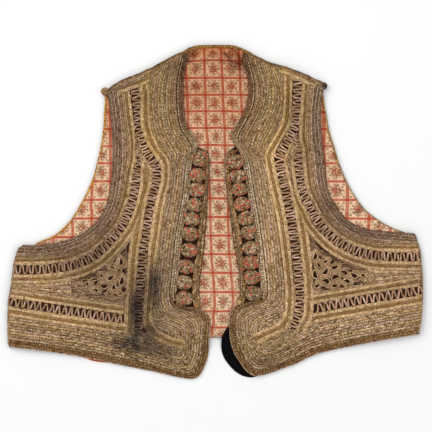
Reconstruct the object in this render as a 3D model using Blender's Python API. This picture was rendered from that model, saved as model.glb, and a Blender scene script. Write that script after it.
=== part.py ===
"""Embroidered folk vest, laid flat with its two fronts over the back.

Every cut or sewn piece is one closed solid. Sizes are in millimetres and are turned
into metres when a solid is made. X is across the vest, Y runs from hem to neck, Z is up.
Right and left are the wearer's. Tables hold the pattern's edges, one row per point.
"""
import math

import bpy
import numpy as np
from mathutils import Vector
from mathutils.geometry import delaunay_2d_cdt

MM = 0.001

# Cloth
BACK_CLOTH = 2.5
LINING_CLOTH = 1.0
SEAM_GAP = 0.3
FRONT_CLOTH = 2.2
BRAID_RISE = 1.2
STEP_WIDTH = 0.9
SIDE_SEAM = 3.3
SIDE_ROLL = 6.0
LIP_WIDTH = 2.9
CORNER_POINT = 3.6

# Levels of the layers
LINING_LEVEL = BACK_CLOTH + SEAM_GAP
FRONT_LEVEL = LINING_LEVEL + LINING_CLOTH + SEAM_GAP
HEM_SAG_START = 3.5
HEM_SAG_LENGTH = 13.0

# Buttons and knobs
BUTTON_WIDTH = 18.8
BUTTON_LENGTH = 17.4
BUTTON_HEIGHT = 8.0
BUTTON_SIDES = 16
BUTTON_DOME = ((1.0, 0.0), (1.06, 0.18), (1.0, 0.45), (0.84, 0.72), (0.52, 0.93))
KNOB_RADIUS = 5.1
STRIP_RISE = 1.5

# Cords and tape
CORD_RADIUS = 1.0
CORD_SIDES = 6
TAPE_WIDTH = 9.0
TAPE_CLOTH = 1.2
SLIVER_WIDTH = 7.0
SLIVER_CLOTH = 0.9

# Back-neck stand
STAND_CLOTH = 1.6
STAND_RISE = 4.0
STAND_DEPTH = 21.0

RIGHT_FRONT = {
    "shoulder": [(-133, 150.5), (-119, 164.5), (-82.5, 178), (-57.5, 192), (-40.5, 200.5)],
    "neck": [(-36.2, 196), (-39, 189.5), (-42.5, 167), (-42.5, 133), (-36, 105.5), (-21, 83)],
    "front_edge": [(-21, 83), (-10, 75.5), (-7.5, 62), (-9, 39.5), (-11, -4.5), (-15, -50.5),
        (-20, -92), (-19, -112), (-10, -127)],
    "tongue": [(-10, -127), (-7.5, -138), (-9, -160.5), (-12.5, -188), (-19, -200.5),
        (-27.5, -208)],
    "hem": [(-27.5, -208), (-47.5, -207), (-82.5, -198), (-114, -192), (-139, -185.5),
        (-170, -179.5), (-195, -175.5), (-259, -169.5)],
    "side": [(-259, -169.5), (-260, -142), (-259, -108), (-255, -83), (-251, -58), (-246, -43)],
    "armhole": [(-246, -43), (-222.5, -43), (-192.5, -38), (-167.5, -28), (-149, -13), (-136, 8),
        (-130, 37), (-128, 77), (-130, 114.5), (-133, 150.5)],
    "ladder_arm_outer": [(-107, 153), (-102, 117), (-99, 85.5), (-103, 42), (-110.5, 4.5),
        (-125, -24.5), (-149, -45.5), (-180, -60), (-217.5, -67.5), (-246, -69)],
    "ladder_arm_inner": [(-246, -78), (-220, -77.5), (-190, -73), (-160, -62), (-135, -46),
        (-117.5, -27), (-106, -8), (-98, 17), (-94, 52), (-96, 68)],
    "ladder_front_inner": [(-94, 73), (-80.5, 52), (-84, 24.5), (-88, -0.5), (-92.5, -25.5),
        (-96, -58), (-99, -88), (-102.5, -117), (-104, -138), (-99, -153)],
    "ladder_front_outer": [(-72.5, -150.5), (-85, -134.5), (-87.5, -113), (-86, -75.5),
        (-83, -29.5), (-75.5, 14.5), (-69, 47), (-71, 59.5), (-92.5, 94.5), (-95.5, 122),
        (-97, 153)],
    "hem_ladder_top": [(-252.5, -110), (-220, -113), (-170, -120.5), (-117.5, -128)],
    "hem_ladder_foot": [(-117.5, -137), (-170, -130), (-220, -123), (-252.5, -119.5)],
    "filigree": [(-115, -50.5), (-112.5, -63), (-112.5, -108), (-117.5, -109.5), (-145, -105.5),
        (-176, -98), (-181, -94), (-170, -87), (-157.5, -80.5), (-141, -70.5), (-127.5, -59.5)],
    "button_edge": [(-18, 86), (-24, 79), (-31.5, 66), (-33.5, 46), (-36, 20.5), (-40.5, -4.5),
        (-45, -29.5), (-48, -54.5), (-50, -79.5), (-52.5, -98), (-51, -108), (-44, -119.5),
        (-24, -123), (-4, -124)],
}

LEFT_FRONT = {
    "shoulder": [(134.5, 160.5), (117.5, 169.5), (92.5, 179), (65, 186), (39, 199)],
    "neck": [(35, 195), (39, 187), (41, 162), (39, 135.5), (31, 114.5), (21, 97), (22.5, 80.5)],
    "front_edge": [(22.5, 80.5), (15, 73), (12.5, 60.5), (14, 37), (17.5, -0.5), (22.5, -39.5),
        (30, -79.5), (31, -100.5), (20, -124.5)],
    "tongue": [(20, -124.5), (16, -139.5), (19, -160.5), (27.5, -185.5), (37.5, -198),
        (50, -205)],
    "hem": [(50, -205), (67.5, -199), (86, -192), (104, -183), (117.5, -179), (142.5, -174.5),
        (195, -163), (256, -153)],
    "side": [(256, -153), (259, -133), (260, -110.5), (257.5, -63), (250, -28)],
    "armhole": [(250, -28), (217.5, -25.5), (189, -22), (166, -12), (150, 7), (140, 27),
        (135, 64.5), (131, 108), (132, 139.5), (134.5, 160.5)],
    "ladder_arm_outer": [(107.5, 164.5), (105, 132), (103, 102), (106, 64.5), (111, 27),
        (120.5, 3), (140, -22), (169, -42), (204, -50), (249, -53)],
    "ladder_arm_inner": [(249, -62), (220, -61), (190, -59), (164, -50.5), (141, -35),
        (123, -17), (110.5, 4.5), (104, 27), (98, 64.5), (99, 87)],
    "ladder_front_inner": [(96, 89.5), (83, 67), (89, 37), (95, 7), (101, -23), (105.5, -50.5),
        (108, -78), (110, -108), (109, -127), (99, -148)],
    "ladder_front_outer": [(85, -142), (95, -129.5), (98, -110.5), (96, -67), (91, -20.5),
        (82.5, 27), (74.5, 59.5), (74, 72), (90, 102), (95, 124.5), (97, 164.5)],
    "hem_ladder_top": [(129, -115), (167.5, -108), (207.5, -100.5), (251, -94.5)],
    "hem_ladder_foot": [(251, -104.5), (207.5, -111), (167.5, -118), (129, -125)],
    "filigree": [(121, -43), (121, -98), (125, -99.5), (161, -92), (195, -85.5), (204, -82),
        (192.5, -75.5), (167.5, -67.5), (142.5, -55.5), (132.5, -49.5)],
    "button_edge": [(19, 84), (27.5, 79.5), (37, 70), (40, 46), (42.5, 20.5), (47.5, -4.5),
        (52, -29.5), (55, -54.5), (57, -79.5), (60, -98), (58, -106), (50, -114.5), (36, -118),
        (14, -122)],
}

BACK = {
    "armhole_right": [(-139.3, 134.5), (-139.3, 124.5), (-141, 98), (-147.5, 62), (-157.5, 29.5),
        (-170, 4.5), (-187.5, -14.5), (-210, -30.5), (-234, -42.5)],
    "armhole_left": [(137.6, 142), (138.4, 132), (141, 105.5), (149, 79.5), (159, 49.5),
        (172.5, 20.5), (192.5, -2), (219, -19), (240, -26)],
    "hem": [(-255, -168), (-195, -165.5), (-120, -162), (-1, -157.5), (105, -157), (180, -155.5),
        (252.5, -152.5)],
    "collar_seam": [(-38, 185), (-20, 188), (-1, 189), (19, 187), (38.5, 182)],
    "collar_top": [(-31.5, 203.5), (-25, 207), (-12.5, 208), (7.5, 208), (20, 207.5),
        (30.5, 202.5)],
    "tape_outer": [(17, -143), (11, -152), (7.5, -162), (7, -172), (10.5, -183), (16, -191),
        (24, -199.5), (34, -205.5), (44, -207.5), (51, -206)],
    "sliver_right": [(-172.5, -178), (-162.5, -185), (-147.5, -189), (-132.5, -190),
        (-125, -187.5)],
    "sliver_left": [(82.5, -193), (90, -194), (100, -189.5), (110, -183.5), (115, -179)],
    "buttons_right": [(-20, 65.5), (-22.5, 45), (-23.5, 27), (-26.5, 8), (-30, -9.5), (-32, -28),
        (-33, -48), (-37, -68.5), (-39, -88.5), (-39, -108)],
    "buttons_left": [(25, 62), (28, 44), (30, 27.5), (32.5, 9.5), (37.5, -8.5), (41, -26),
        (44, -45.5), (44, -63.5), (45, -82), (47, -102)],
    "knobs": [(-137.8, 149.6), (139.6, 156.8)],
}

# Soft high places of the fronts: place x, place y, reach across, reach along, height
RIGHT_SWELLS = ((-68, 118, 34, 48, 1.5), (-60, 5, 30, 62, 2.0), (-62, -96, 26, 40, 1.2),
    (-150, -88, 60, 34, 1.5), (-212, -128, 42, 26, 1.0), (-122, 96, 16, 44, 0.9))
LEFT_SWELLS = ((70, 112, 36, 44, 1.7), (66, -8, 30, 58, 1.6), (78, -98, 30, 36, 1.4),
    (160, -80, 56, 36, 1.7), (218, -104, 40, 30, 0.9), (120, 90, 16, 50, 1.1))

CLOTHS = {
    "wool": ((0.075, 0.035, 0.03), 0.9),
    "gilt": ((0.42, 0.3, 0.15), 0.55),
    "olive": ((0.22, 0.19, 0.1), 0.7),
    "print": ((0.8, 0.56, 0.42), 0.85),
    "gold_cord": ((0.5, 0.34, 0.12), 0.6),
    "tape": ((0.01, 0.012, 0.02), 0.85),
}


def unit(v):
    return v / max(np.linalg.norm(v), 1e-9)


def smooth(rows, step):
    """A rounded line through the rows, with a point about every step."""
    p = np.array(rows, float)
    out = []
    for i in range(len(p) - 1):
        a, b = p[i], p[i + 1]
        before, after = p[max(i - 1, 0)], p[min(i + 2, len(p) - 1)]
        length = np.linalg.norm(b - a)
        turn_a = (b - before) / 2
        turn_b = (after - a) / 2
        turn_a = turn_a * min(1.0, length / max(np.linalg.norm(turn_a), 1e-6))
        turn_b = turn_b * min(1.0, length / max(np.linalg.norm(turn_b), 1e-6))
        for t in np.arange(24) / 24:
            out.append((2 * t ** 3 - 3 * t ** 2 + 1) * a + (t ** 3 - 2 * t ** 2 + t) * turn_a
                       + (3 * t ** 2 - 2 * t ** 3) * b + (t ** 3 - t ** 2) * turn_b)
    out.append(p[-1])
    return even(np.array(out), step)


def even(line, step):
    """The same line with its points evenly spaced."""
    run = np.concatenate(([0.0], np.cumsum(np.linalg.norm(np.diff(line, axis=0), axis=1))))
    count = max(2, int(round(run[-1] / step)) + 1)
    at = np.linspace(0, run[-1], count)
    return np.stack([np.interp(at, run, line[:, k]) for k in (0, 1)], axis=1)


def with_corner_points(line, near):
    """The same line with a point added close to each end."""
    first = line[0] + unit(line[1] - line[0]) * near
    last = line[-1] + unit(line[-2] - line[-1]) * near
    return np.vstack((line[:1], [first], line[1:-1], [last], line[-1:]))


def closed(*lines):
    """Joins lines end to end into one loop, counter-clockwise."""
    loop = [lines[0][0]]
    for line in lines:
        for q in line:
            if np.linalg.norm(q - loop[-1]) > 0.6:
                loop.append(q)
    if np.linalg.norm(loop[0] - loop[-1]) < 0.6:
        loop.pop()
    loop = np.array(loop)
    x, y = loop[:, 0], loop[:, 1]
    area = np.sum(x * np.roll(y, -1) - y * np.roll(x, -1))
    return loop if area > 0 else loop[::-1]


def inset(loop, amount):
    """The counter-clockwise loop moved inward by amount."""
    back = loop - np.roll(loop, 1, axis=0)
    ahead = np.roll(loop, -1, axis=0) - loop
    out = []
    for i, q in enumerate(loop):
        a, b = unit(back[i]), unit(ahead[i])
        na, nb = np.array((-a[1], a[0])), np.array((-b[1], b[0]))
        m = unit(na + nb)
        reach = min(1.6, 1.0 / max(0.35, float(np.dot(m, na))))
        out.append(q + m * amount * reach)
    return np.array(out)


def beside(line, amount):
    """An open line moved to its left by amount."""
    way = np.gradient(line, axis=0)
    side = np.stack((-way[:, 1], way[:, 0]), axis=1)
    side /= np.linalg.norm(side, axis=1)[:, None]
    return line + side * amount


def distance(point, line):
    """Distance from a point to an open line."""
    a, b = line[:-1], line[1:]
    d = b - a
    t = np.clip(np.sum((point - a) * d, axis=1) / np.maximum(np.sum(d * d, axis=1), 1e-9), 0, 1)
    return float(np.min(np.linalg.norm(a + d * t[:, None] - point, axis=1)))


def ring(loop):
    return np.vstack((loop, loop[:1]))


def holds(loop, point):
    """True where the point is inside the loop."""
    a, b = loop, np.roll(loop, -1, axis=0)
    up = (a[:, 1] > point[1]) != (b[:, 1] > point[1])
    cut = a[:, 0] + (point[1] - a[:, 1]) * (b[:, 0] - a[:, 0]) / np.where(up, b[:, 1] - a[:, 1], 1.0)
    return int(np.sum(up & (point[0] < cut))) % 2 == 1


def ease(t):
    t = min(1.0, max(0.0, t))
    return t * t * (3 - 2 * t)


# ---------------------------------------------------------------- the lie of the cloth

BACK_HEM = smooth(BACK["hem"], 12)


def shelf(point):
    """Level that cloth above the back lies on: the lining, or the table past the back's hem."""
    past = float(np.interp(point[0], BACK_HEM[:, 0], BACK_HEM[:, 1])) - point[1] - HEM_SAG_START
    return FRONT_LEVEL * (1 - ease(past / HEM_SAG_LENGTH))


TAPE_LINE = smooth(BACK["tape_outer"], 6)
SLIVER_LINES = {"right": smooth(BACK["sliver_right"], 6), "left": smooth(BACK["sliver_left"], 6)}


def tape_bottom(point):
    return shelf(point)


def over_small_cloth(point, side):
    """How far the front is lifted by the tape or the hem lining under its edge."""
    lift = 0.0
    if side == "left":
        far = distance(point, TAPE_LINE)
        lift = (TAPE_CLOTH + SEAM_GAP) * (1 - ease((far - TAPE_WIDTH - 6) / 9))
    far = distance(point, SLIVER_LINES[side])
    return max(lift, (SLIVER_CLOTH + SEAM_GAP) * (1 - ease((far - SLIVER_WIDTH - 7) / 9)))


# ---------------------------------------------------------------- solids

def spread(loop, gap, keep):
    """Points that fill a loop, each at least keep from the points already there."""
    low, high = loop.min(axis=0), loop.max(axis=0)
    out = []
    row = 0
    y = low[1] + gap / 2
    while y < high[1]:
        x = low[0] + (gap / 2 if row % 2 else 0)
        while x < high[0]:
            q = np.array((x, y))
            if holds(loop, q) and distance(q, ring(loop)) > gap * 0.45:
                if len(keep) == 0 or np.min(np.linalg.norm(keep - q, axis=1)) > gap * 0.42:
                    out.append(q)
            x += gap
        y += gap * 0.866
        row += 1
    return np.array(out).reshape(-1, 2)


def face_sheet(loop, inner_loops, extra, gap, lines=()):
    """Triangles inside a loop, with inner loops and open lines kept as edges."""
    points = [tuple(q) for q in loop]
    edges = [(i, (i + 1) % len(loop)) for i in range(len(loop))]
    for inner in inner_loops:
        start = len(points)
        points += [tuple(q) for q in inner]
        edges += [(start + i, start + (i + 1) % len(inner)) for i in range(len(inner))]
    for line in lines:
        before = None
        for q in line:
            if holds(loop, q) and distance(q, ring(loop)) > 1.4:
                points.append(tuple(q))
                if before is not None:
                    edges.append((before, len(points) - 1))
                before = len(points) - 1
            else:
                before = None
    held = np.array(points)
    if len(extra):
        near = [q for q in extra if np.min(np.linalg.norm(held - q, axis=1)) > 2.2]
        near = [q for q in near if all(distance(q, ring(i)) > 1.2 for i in inner_loops)]
        points += [tuple(q) for q in near]
        held = np.array(points)
    fill = spread(loop, gap, held)
    fill = [q for q in fill if all(distance(q, ring(i)) > 1.5 for i in inner_loops)]
    points += [tuple(q) for q in fill]
    made = delaunay_2d_cdt([Vector(q) for q in points], edges, [], 1, 1e-6)
    where = {}
    for new, olds in enumerate(made[3]):
        for old in olds:
            where[old] = new
    return [np.array(q) for q in made[0]], made[2], [where[i] for i in range(len(loop))]


def wall(name, loop, top, bottom, cloth, rings_top, rings_low, mid, gap, inner=(), low_gap=None,
         extra_rings=(), lines=(), low_lines=()):
    """A closed cloth wall: a top sheet, a lower sheet and rounded edges between them.

    rings_top and rings_low hold insets from the edge, ordered outward to inward.
    top, bottom and mid give heights for a point and its inset."""
    low_gap = low_gap or gap
    verts, faces = [], []
    rings = []

    def add_ring(line, height):
        start = len(verts)
        verts.extend((q[0], q[1], height(q)) for q in line)
        rings.append(list(range(start, start + len(line))))

    top_loop = inset(loop, rings_top[-1])
    extra = [q for r in extra_rings for q in inset(loop, r)]
    p, f, edge = face_sheet(top_loop, inner, extra, gap, lines)
    start = len(verts)
    verts.extend((q[0], q[1], top(q)) for q in p)
    faces.extend(tuple(start + i for i in t) for t in f)
    rings.append([start + i for i in edge])
    for r in reversed(rings_top[:-1]):
        add_ring(inset(loop, r), top)
    add_ring(loop, mid)
    for r in rings_low[:-1]:
        add_ring(inset(loop, r), bottom)
    p, f, edge = face_sheet(inset(loop, rings_low[-1]), (), (), low_gap, low_lines)
    start = len(verts)
    verts.extend((q[0], q[1], bottom(q)) for q in p)
    faces.extend(tuple(start + i for i in reversed(t)) for t in f)
    rings.append([start + i for i in edge])
    for a, b in zip(rings[:-1], rings[1:]):
        n = len(a)
        for i in range(n):
            j = (i + 1) % n
            faces.append((a[i], b[i], b[j]))
            faces.append((a[i], b[j], a[j]))
    solid(name, verts, faces, cloth)


def paint(cloth):
    if cloth in bpy.data.materials:
        return bpy.data.materials[cloth]
    colour, rough = CLOTHS[cloth]
    m = bpy.data.materials.new(cloth)
    m.use_nodes = True
    shader = m.node_tree.nodes["Principled BSDF"]
    shader.inputs["Base Color"].default_value = (*colour, 1)
    shader.inputs["Roughness"].default_value = rough
    return m


def solid(name, verts, faces, cloth):
    """Adds one closed solid; flat-lying triangles keep the given winding, outward."""
    mesh = bpy.data.meshes.new(name)
    mesh.from_pydata([tuple(c * MM for c in v) for v in verts], [], faces)
    mesh.validate()
    for poly in mesh.polygons:
        poly.use_smooth = True
    mesh.materials.append(paint(cloth))
    item = bpy.data.objects.new(name, mesh)
    bpy.context.scene.collection.objects.link(item)


def tube(name, line, radius, sides, cloth):
    """A round cord along a line of x, y, z rows, closed at both ends."""
    line = np.array(line)
    way = np.gradient(line, axis=0)
    verts, faces = [], []
    for i, q in enumerate(line):
        t = unit(way[i])
        side = unit(np.cross(t, (0, 0, 1)))
        up = np.cross(side, t)
        for k in range(sides):
            a = 2 * math.pi * k / sides
            verts.append(tuple(q + radius * (math.cos(a) * side + math.sin(a) * up)))
    for i in range(len(line) - 1):
        for k in range(sides):
            j = (k + 1) % sides
            a, b = i * sides + k, i * sides + j
            c, d = a + sides, b + sides
            faces.append((a, d, b))
            faces.append((a, c, d))
    for end, first in ((0, 0), (1, (len(line) - 1) * sides)):
        middle = len(verts)
        verts.append(tuple(line[-1 if end else 0]))
        for k in range(sides):
            a, b = first + k, first + (k + 1) % sides
            faces.append((middle, b, a) if end else (middle, a, b))
    solid(name, verts, faces, cloth)


def dome(name, centre, turn, width, length, height, ground, cloth):
    """A wrapped button: an oval dome whose flat foot follows the cloth under it."""
    verts, faces = [], []
    c, s = math.cos(turn), math.sin(turn)
    for ring_size, level in BUTTON_DOME:
        for k in range(BUTTON_SIDES):
            a = 2 * math.pi * k / BUTTON_SIDES
            u, v = math.cos(a) * width / 2 * ring_size / 1.06, math.sin(a) * length / 2 * ring_size / 1.06
            q = np.array((centre[0] + u * c - v * s, centre[1] + u * s + v * c))
            verts.append((q[0], q[1], ground(q) + SEAM_GAP + height * level))
    n = BUTTON_SIDES
    for r in range(len(BUTTON_DOME) - 1):
        for k in range(n):
            j = (k + 1) % n
            a, b, d, e = r * n + k, r * n + j, (r + 1) * n + k, (r + 1) * n + j
            faces.append((a, b, e))
            faces.append((a, e, d))
    top, foot = len(verts), len(verts) + 1
    q = np.array(centre)
    verts.append((q[0], q[1], ground(q) + SEAM_GAP + height))
    verts.append((q[0], q[1], ground(q) + SEAM_GAP))
    last = (len(BUTTON_DOME) - 1) * n
    for k in range(n):
        j = (k + 1) % n
        faces.append((last + k, last + j, top))
        faces.append((j, k, foot))
    solid(name, verts, faces, cloth)


def ball(name, centre, radius, cloth):
    """A thread ball with a small flat foot."""
    sides, rows = 14, 8
    verts, faces = [], []
    for r in range(rows):
        a = math.radians(-62 + 140 * r / (rows - 1))
        for k in range(sides):
            b = 2 * math.pi * k / sides
            verts.append((centre[0] + radius * math.cos(a) * math.cos(b),
                          centre[1] + radius * math.cos(a) * math.sin(b),
                          centre[2] + radius * math.sin(a)))
    for r in range(rows - 1):
        for k in range(sides):
            j = (k + 1) % sides
            a, b, c, d = r * sides + k, r * sides + j, (r + 1) * sides + k, (r + 1) * sides + j
            faces.append((a, b, d))
            faces.append((a, d, c))
    top, foot = len(verts), len(verts) + 1
    verts.append((centre[0], centre[1], centre[2] + radius))
    verts.append((centre[0], centre[1], centre[2] + radius * math.sin(math.radians(-62))))
    last = (rows - 1) * sides
    for k in range(sides):
        j = (k + 1) % sides
        faces.append((last + k, last + j, top))
        faces.append((j, k, foot))
    solid(name, verts, faces, cloth)


# ---------------------------------------------------------------- a front

class Front:
    """One front: its edge, its sunk bands and the height of its cloth."""

    def __init__(self, side, rows, swells):
        self.side, self.rows, self.swells = side, rows, swells
        lines = [smooth(rows[k], 7.5) for k in ("shoulder", "neck", "front_edge", "tongue", "hem",
                                                "side", "armhole")]
        lines[6] = with_corner_points(lines[6], CORNER_POINT)
        self.side_line = lines[5]
        self.shoulder_line = lines[0]
        self.leading_edge = lines[2]
        self.loop = closed(*lines)
        ladder = closed(*[smooth(rows[k], 8) for k in ("ladder_arm_outer", "ladder_arm_inner",
                                                        "ladder_front_inner", "ladder_front_outer")])
        hem = closed(smooth(rows["hem_ladder_top"], 10), smooth(rows["hem_ladder_foot"], 10))
        corner = closed(smooth(rows["filigree"] + rows["filigree"][:1], 7))
        self.way = 1 if side == "right" else -1
        self.button_edge = smooth(rows["button_edge"], 8)
        beyond = smooth(rows["front_edge"], 8) + np.array((5.0 * self.way, 0))
        self.button_ground = closed(self.button_edge, beyond[::-1])
        self.sunk = [ladder, hem, corner]
        self.sunk_inner = [inset(s, STEP_WIDTH) for s in self.sunk]
        self.creases = [self.button_edge, beside(self.button_edge, STEP_WIDTH * self.way)]
        self.sag = [BACK_HEM - np.array((0, past)) for past in (0.8, 6.0, 11.0, 17.0)]

    def edge_distance(self, point):
        return min(distance(point, self.side_line), distance(point, self.shoulder_line))

    def bottom(self, point):
        rim = self.edge_distance(point)
        if rim < LIP_WIDTH:
            return 0.0 if shelf(point) < 0.3 else SEAM_GAP
        base = shelf(point)
        high = sum(h * math.exp(-((point[0] - x) / a) ** 2 - ((point[1] - y) / b) ** 2)
                   for x, y, a, b, h in self.swells)
        high *= ease((rim - LIP_WIDTH - 1) / 14) * base / FRONT_LEVEL
        return base + high + over_small_cloth(point, self.side)

    def ground(self, point):
        """Top of the bare ground cloth in the sunk bands."""
        rim = self.edge_distance(point)
        base = shelf(point)
        high = sum(h * math.exp(-((point[0] - x) / a) ** 2 - ((point[1] - y) / b) ** 2)
                   for x, y, a, b, h in self.swells)
        high *= ease((rim - LIP_WIDTH - 1) / 14) * base / FRONT_LEVEL
        return base + high + over_small_cloth(point, self.side) + FRONT_CLOTH

    def relief(self, point):
        for loop in self.sunk:
            if holds(loop, point):
                return BRAID_RISE * (1 - min(1.0, distance(point, ring(loop)) / STEP_WIDTH))
        if holds(self.button_ground, point):
            return BRAID_RISE * (1 - min(1.0, distance(point, self.button_edge) / STEP_WIDTH))
        return BRAID_RISE

    def top(self, point):
        height = self.ground(point) + self.relief(point)
        edge = distance(point, ring(self.loop))
        height -= 0.9 * max(0.0, 1 - edge / 3.0) ** 2
        rim = min(SIDE_ROLL, self.edge_distance(point))
        drop = SIDE_ROLL - math.sqrt(max(0.0, SIDE_ROLL ** 2 - (SIDE_ROLL - rim) ** 2))
        return height - drop * 0.85 * min(1.0, height / 7.0)

    def mid(self, point):
        if self.edge_distance(point) < 0.1:
            return 1.4
        return self.bottom(point) + 1.3

    def make(self):
        wall("front_" + self.side, self.loop, self.top, self.bottom, "gilt", (1.2,),
             (0.6, 2.6, 3.1), self.mid, 15, self.sunk + self.sunk_inner, 17,
             extra_rings=(4.0, 8.0), lines=self.creases + self.sag, low_lines=self.sag)


def make_strip(front, centres):
    """The braided strip beside the buttons, on the ground cloth of the front."""
    way = front.way
    outer = beside(smooth(front.rows["front_edge"], 9), -0.7 * way)[1:-1]
    reach = BUTTON_WIDTH / 2 + 0.7
    inner_rows = [(outer[0][0] - 2.0 * way, outer[0][1] - 1.5)]
    inner_rows += [(x + way * reach, y) for x, y in centres]
    inner_rows += [(outer[-1][0] - 11.0 * way, outer[-1][1] + 1.0)]
    inner = []
    for q in smooth(inner_rows, 9):
        room = (float(np.interp(-q[1], -outer[:, 1], outer[:, 0])) - q[0]) * way
        inner.append(q if room > 2.0 else q - np.array((2.0 - room, 0)) * way)
    loop = closed(outer, np.array(inner)[::-1])

    def low(q):
        return front.ground(q) + SEAM_GAP

    wall("button_strip_" + front.side, loop, lambda q: low(q) + STRIP_RISE,
         low, "olive", (0.5,), (0.4,), lambda q: low(q) + STRIP_RISE * 0.55, 14)


def make_buttons(front, centres):
    rows = np.array(centres, float)
    for i, q in enumerate(rows):
        way = rows[min(i + 1, len(rows) - 1)] - rows[max(i - 1, 0)]
        turn = math.atan2(way[1], way[0]) + math.pi / 2
        near = min(np.linalg.norm(q - r) for k, r in enumerate(rows) if k != i)
        dome("button_%s_%02d" % (front.side, i + 1), q, turn, BUTTON_WIDTH,
             min(BUTTON_LENGTH, near - 0.5), BUTTON_HEIGHT, front.ground, "olive")


# ---------------------------------------------------------------- back, collar and trims

def flat_wall(name, loop, level, thick, cloth, gap):
    wall(name, loop, lambda q: level + thick, lambda q: level, cloth, (0.5,), (0.4,),
         lambda q: level + thick * 0.5, gap)


def back_loop(right, left, shrink):
    """The back's edge: inside the fronts' shoulder and side lines, along its own armholes."""
    parts = []
    seam = smooth(BACK["collar_seam"], 9)
    seam = beside(seam, -0.5)
    for front, hole, flip in ((right, "armhole_right", 1), (left, "armhole_left", -1)):
        shoulder = beside(front.shoulder_line, -SIDE_SEAM * flip)
        shoulder = shoulder[1:-1]
        arm = smooth(BACK[hole], 9)
        side = beside(front.side_line, -SIDE_SEAM * flip)[1:-1]
        parts.append((shoulder, arm, side))
    hem = smooth(BACK["hem"], 16)[1:-1]
    r, l = parts
    side_r = r[2][np.argsort(-r[2][:, 1])]
    side_l = l[2][np.argsort(l[2][:, 1])]
    loop = closed(seam[::-1], r[0][::-1], r[1], side_r, hem, side_l, l[1][::-1], l[0])
    return inset(loop, shrink) if shrink else loop


def stand_rise(q):
    """How far the back-neck stand lifts, from its seam to its top edge."""
    v = min(1.0, max(0.0, (q[1] - 186.0) / STAND_DEPTH))
    pull = math.exp(-((q[0] - 27.0) / 9.0) ** 2)
    return SEAM_GAP + STAND_RISE * v ** 1.4 + 1.6 * pull * math.sin(math.pi * min(1.0, v + 0.15))


def make_stand():
    seam = smooth(BACK["collar_seam"], 7)
    top = smooth(BACK["collar_top"], 7)
    loop = closed(seam, top[::-1])
    second = inset(loop, 0.2)
    lining = STAND_CLOTH + SEAM_GAP
    wall("collar", loop, lambda q: stand_rise(q) + STAND_CLOTH, stand_rise, "wool", (0.5,), (0.4,),
         lambda q: stand_rise(q) + STAND_CLOTH / 2, 8)
    wall("collar_lining", second, lambda q: stand_rise(q) + lining + LINING_CLOTH,
         lambda q: stand_rise(q) + lining, "print", (0.4,), (0.3,),
         lambda q: stand_rise(q) + lining + LINING_CLOTH / 2, 8)
    edge = beside(top, CORD_RADIUS + SEAM_GAP)[1:-1]
    line = [(q[0], q[1], stand_rise(q) + STAND_CLOTH + 0.2) for q in edge]
    tube("neck_cord", line, CORD_RADIUS, CORD_SIDES, "gold_cord")


def make_edge_strip(name, line, width, thick, low, cloth, way):
    """A strip of cloth along a line, seen from its outer edge and tucked under a front."""
    inner = beside(line, width * way)
    loop = closed(line, inner[::-1])
    wall(name, loop, lambda q: low(q) + thick, low, cloth, (0.35,), (0.3,),
         lambda q: low(q) + thick / 2, 6)


def centre_all():
    """Moves everything so that the origin is under the middle of the vest."""
    items = [o for o in bpy.data.objects if o.type == "MESH"]
    low = np.array([np.min([v.co[:] for v in o.data.vertices], axis=0) for o in items]).min(axis=0)
    high = np.array([np.max([v.co[:] for v in o.data.vertices], axis=0) for o in items]).max(axis=0)
    shift = Vector((-(low[0] + high[0]) / 2, -(low[1] + high[1]) / 2, -low[2]))
    for o in items:
        for v in o.data.vertices:
            v.co = v.co + shift


def main():
    for o in list(bpy.data.objects):
        bpy.data.objects.remove(o)
    right = Front("right", RIGHT_FRONT, RIGHT_SWELLS)
    left = Front("left", LEFT_FRONT, LEFT_SWELLS)
    flat_wall("back", back_loop(right, left, 0.0), 0.0, BACK_CLOTH, "wool", 34)
    flat_wall("back_lining", back_loop(right, left, 0.5), LINING_LEVEL, LINING_CLOTH, "print", 34)
    make_stand()
    right.make()
    left.make()
    for front, centres in ((right, BACK["buttons_right"]), (left, BACK["buttons_left"])):
        make_strip(front, centres)
        make_buttons(front, centres)
    for side, (x, y) in zip(("right", "left"), BACK["knobs"]):
        ball("shoulder_knob_" + side, (x, y, KNOB_RADIUS), KNOB_RADIUS, "olive")
        line = beside(smooth(BACK["armhole_" + side], 8), (CORD_RADIUS + SEAM_GAP)
                      * (-1 if side == "right" else 1))
        line = line[1:-1]
        tube("armhole_cord_" + side, [(q[0], q[1], BACK_CLOTH * 0.8) for q in line],
             CORD_RADIUS, CORD_SIDES, "gold_cord")
    make_edge_strip("waist_tape", TAPE_LINE, TAPE_WIDTH, TAPE_CLOTH, tape_bottom, "tape", 1)
    for side in ("right", "left"):
        make_edge_strip("hem_lining_" + side, SLIVER_LINES[side], SLIVER_WIDTH, SLIVER_CLOTH,
                        lambda q: 0.0, "print", 1)
    centre_all()


main()
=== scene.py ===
"""Embroidered folk vest, laid flat: the finished look, sewn piece by piece on the solid frame.

The tables are in millimetres, drawn like a paper pattern seen from above: x runs across the vest and y from
hem to neck. Right and left are the wearer's.
"""
import math
from functools import cache

import bmesh
import bpy
import numpy as np
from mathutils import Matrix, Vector
from mathutils.bvhtree import BVHTree


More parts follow.
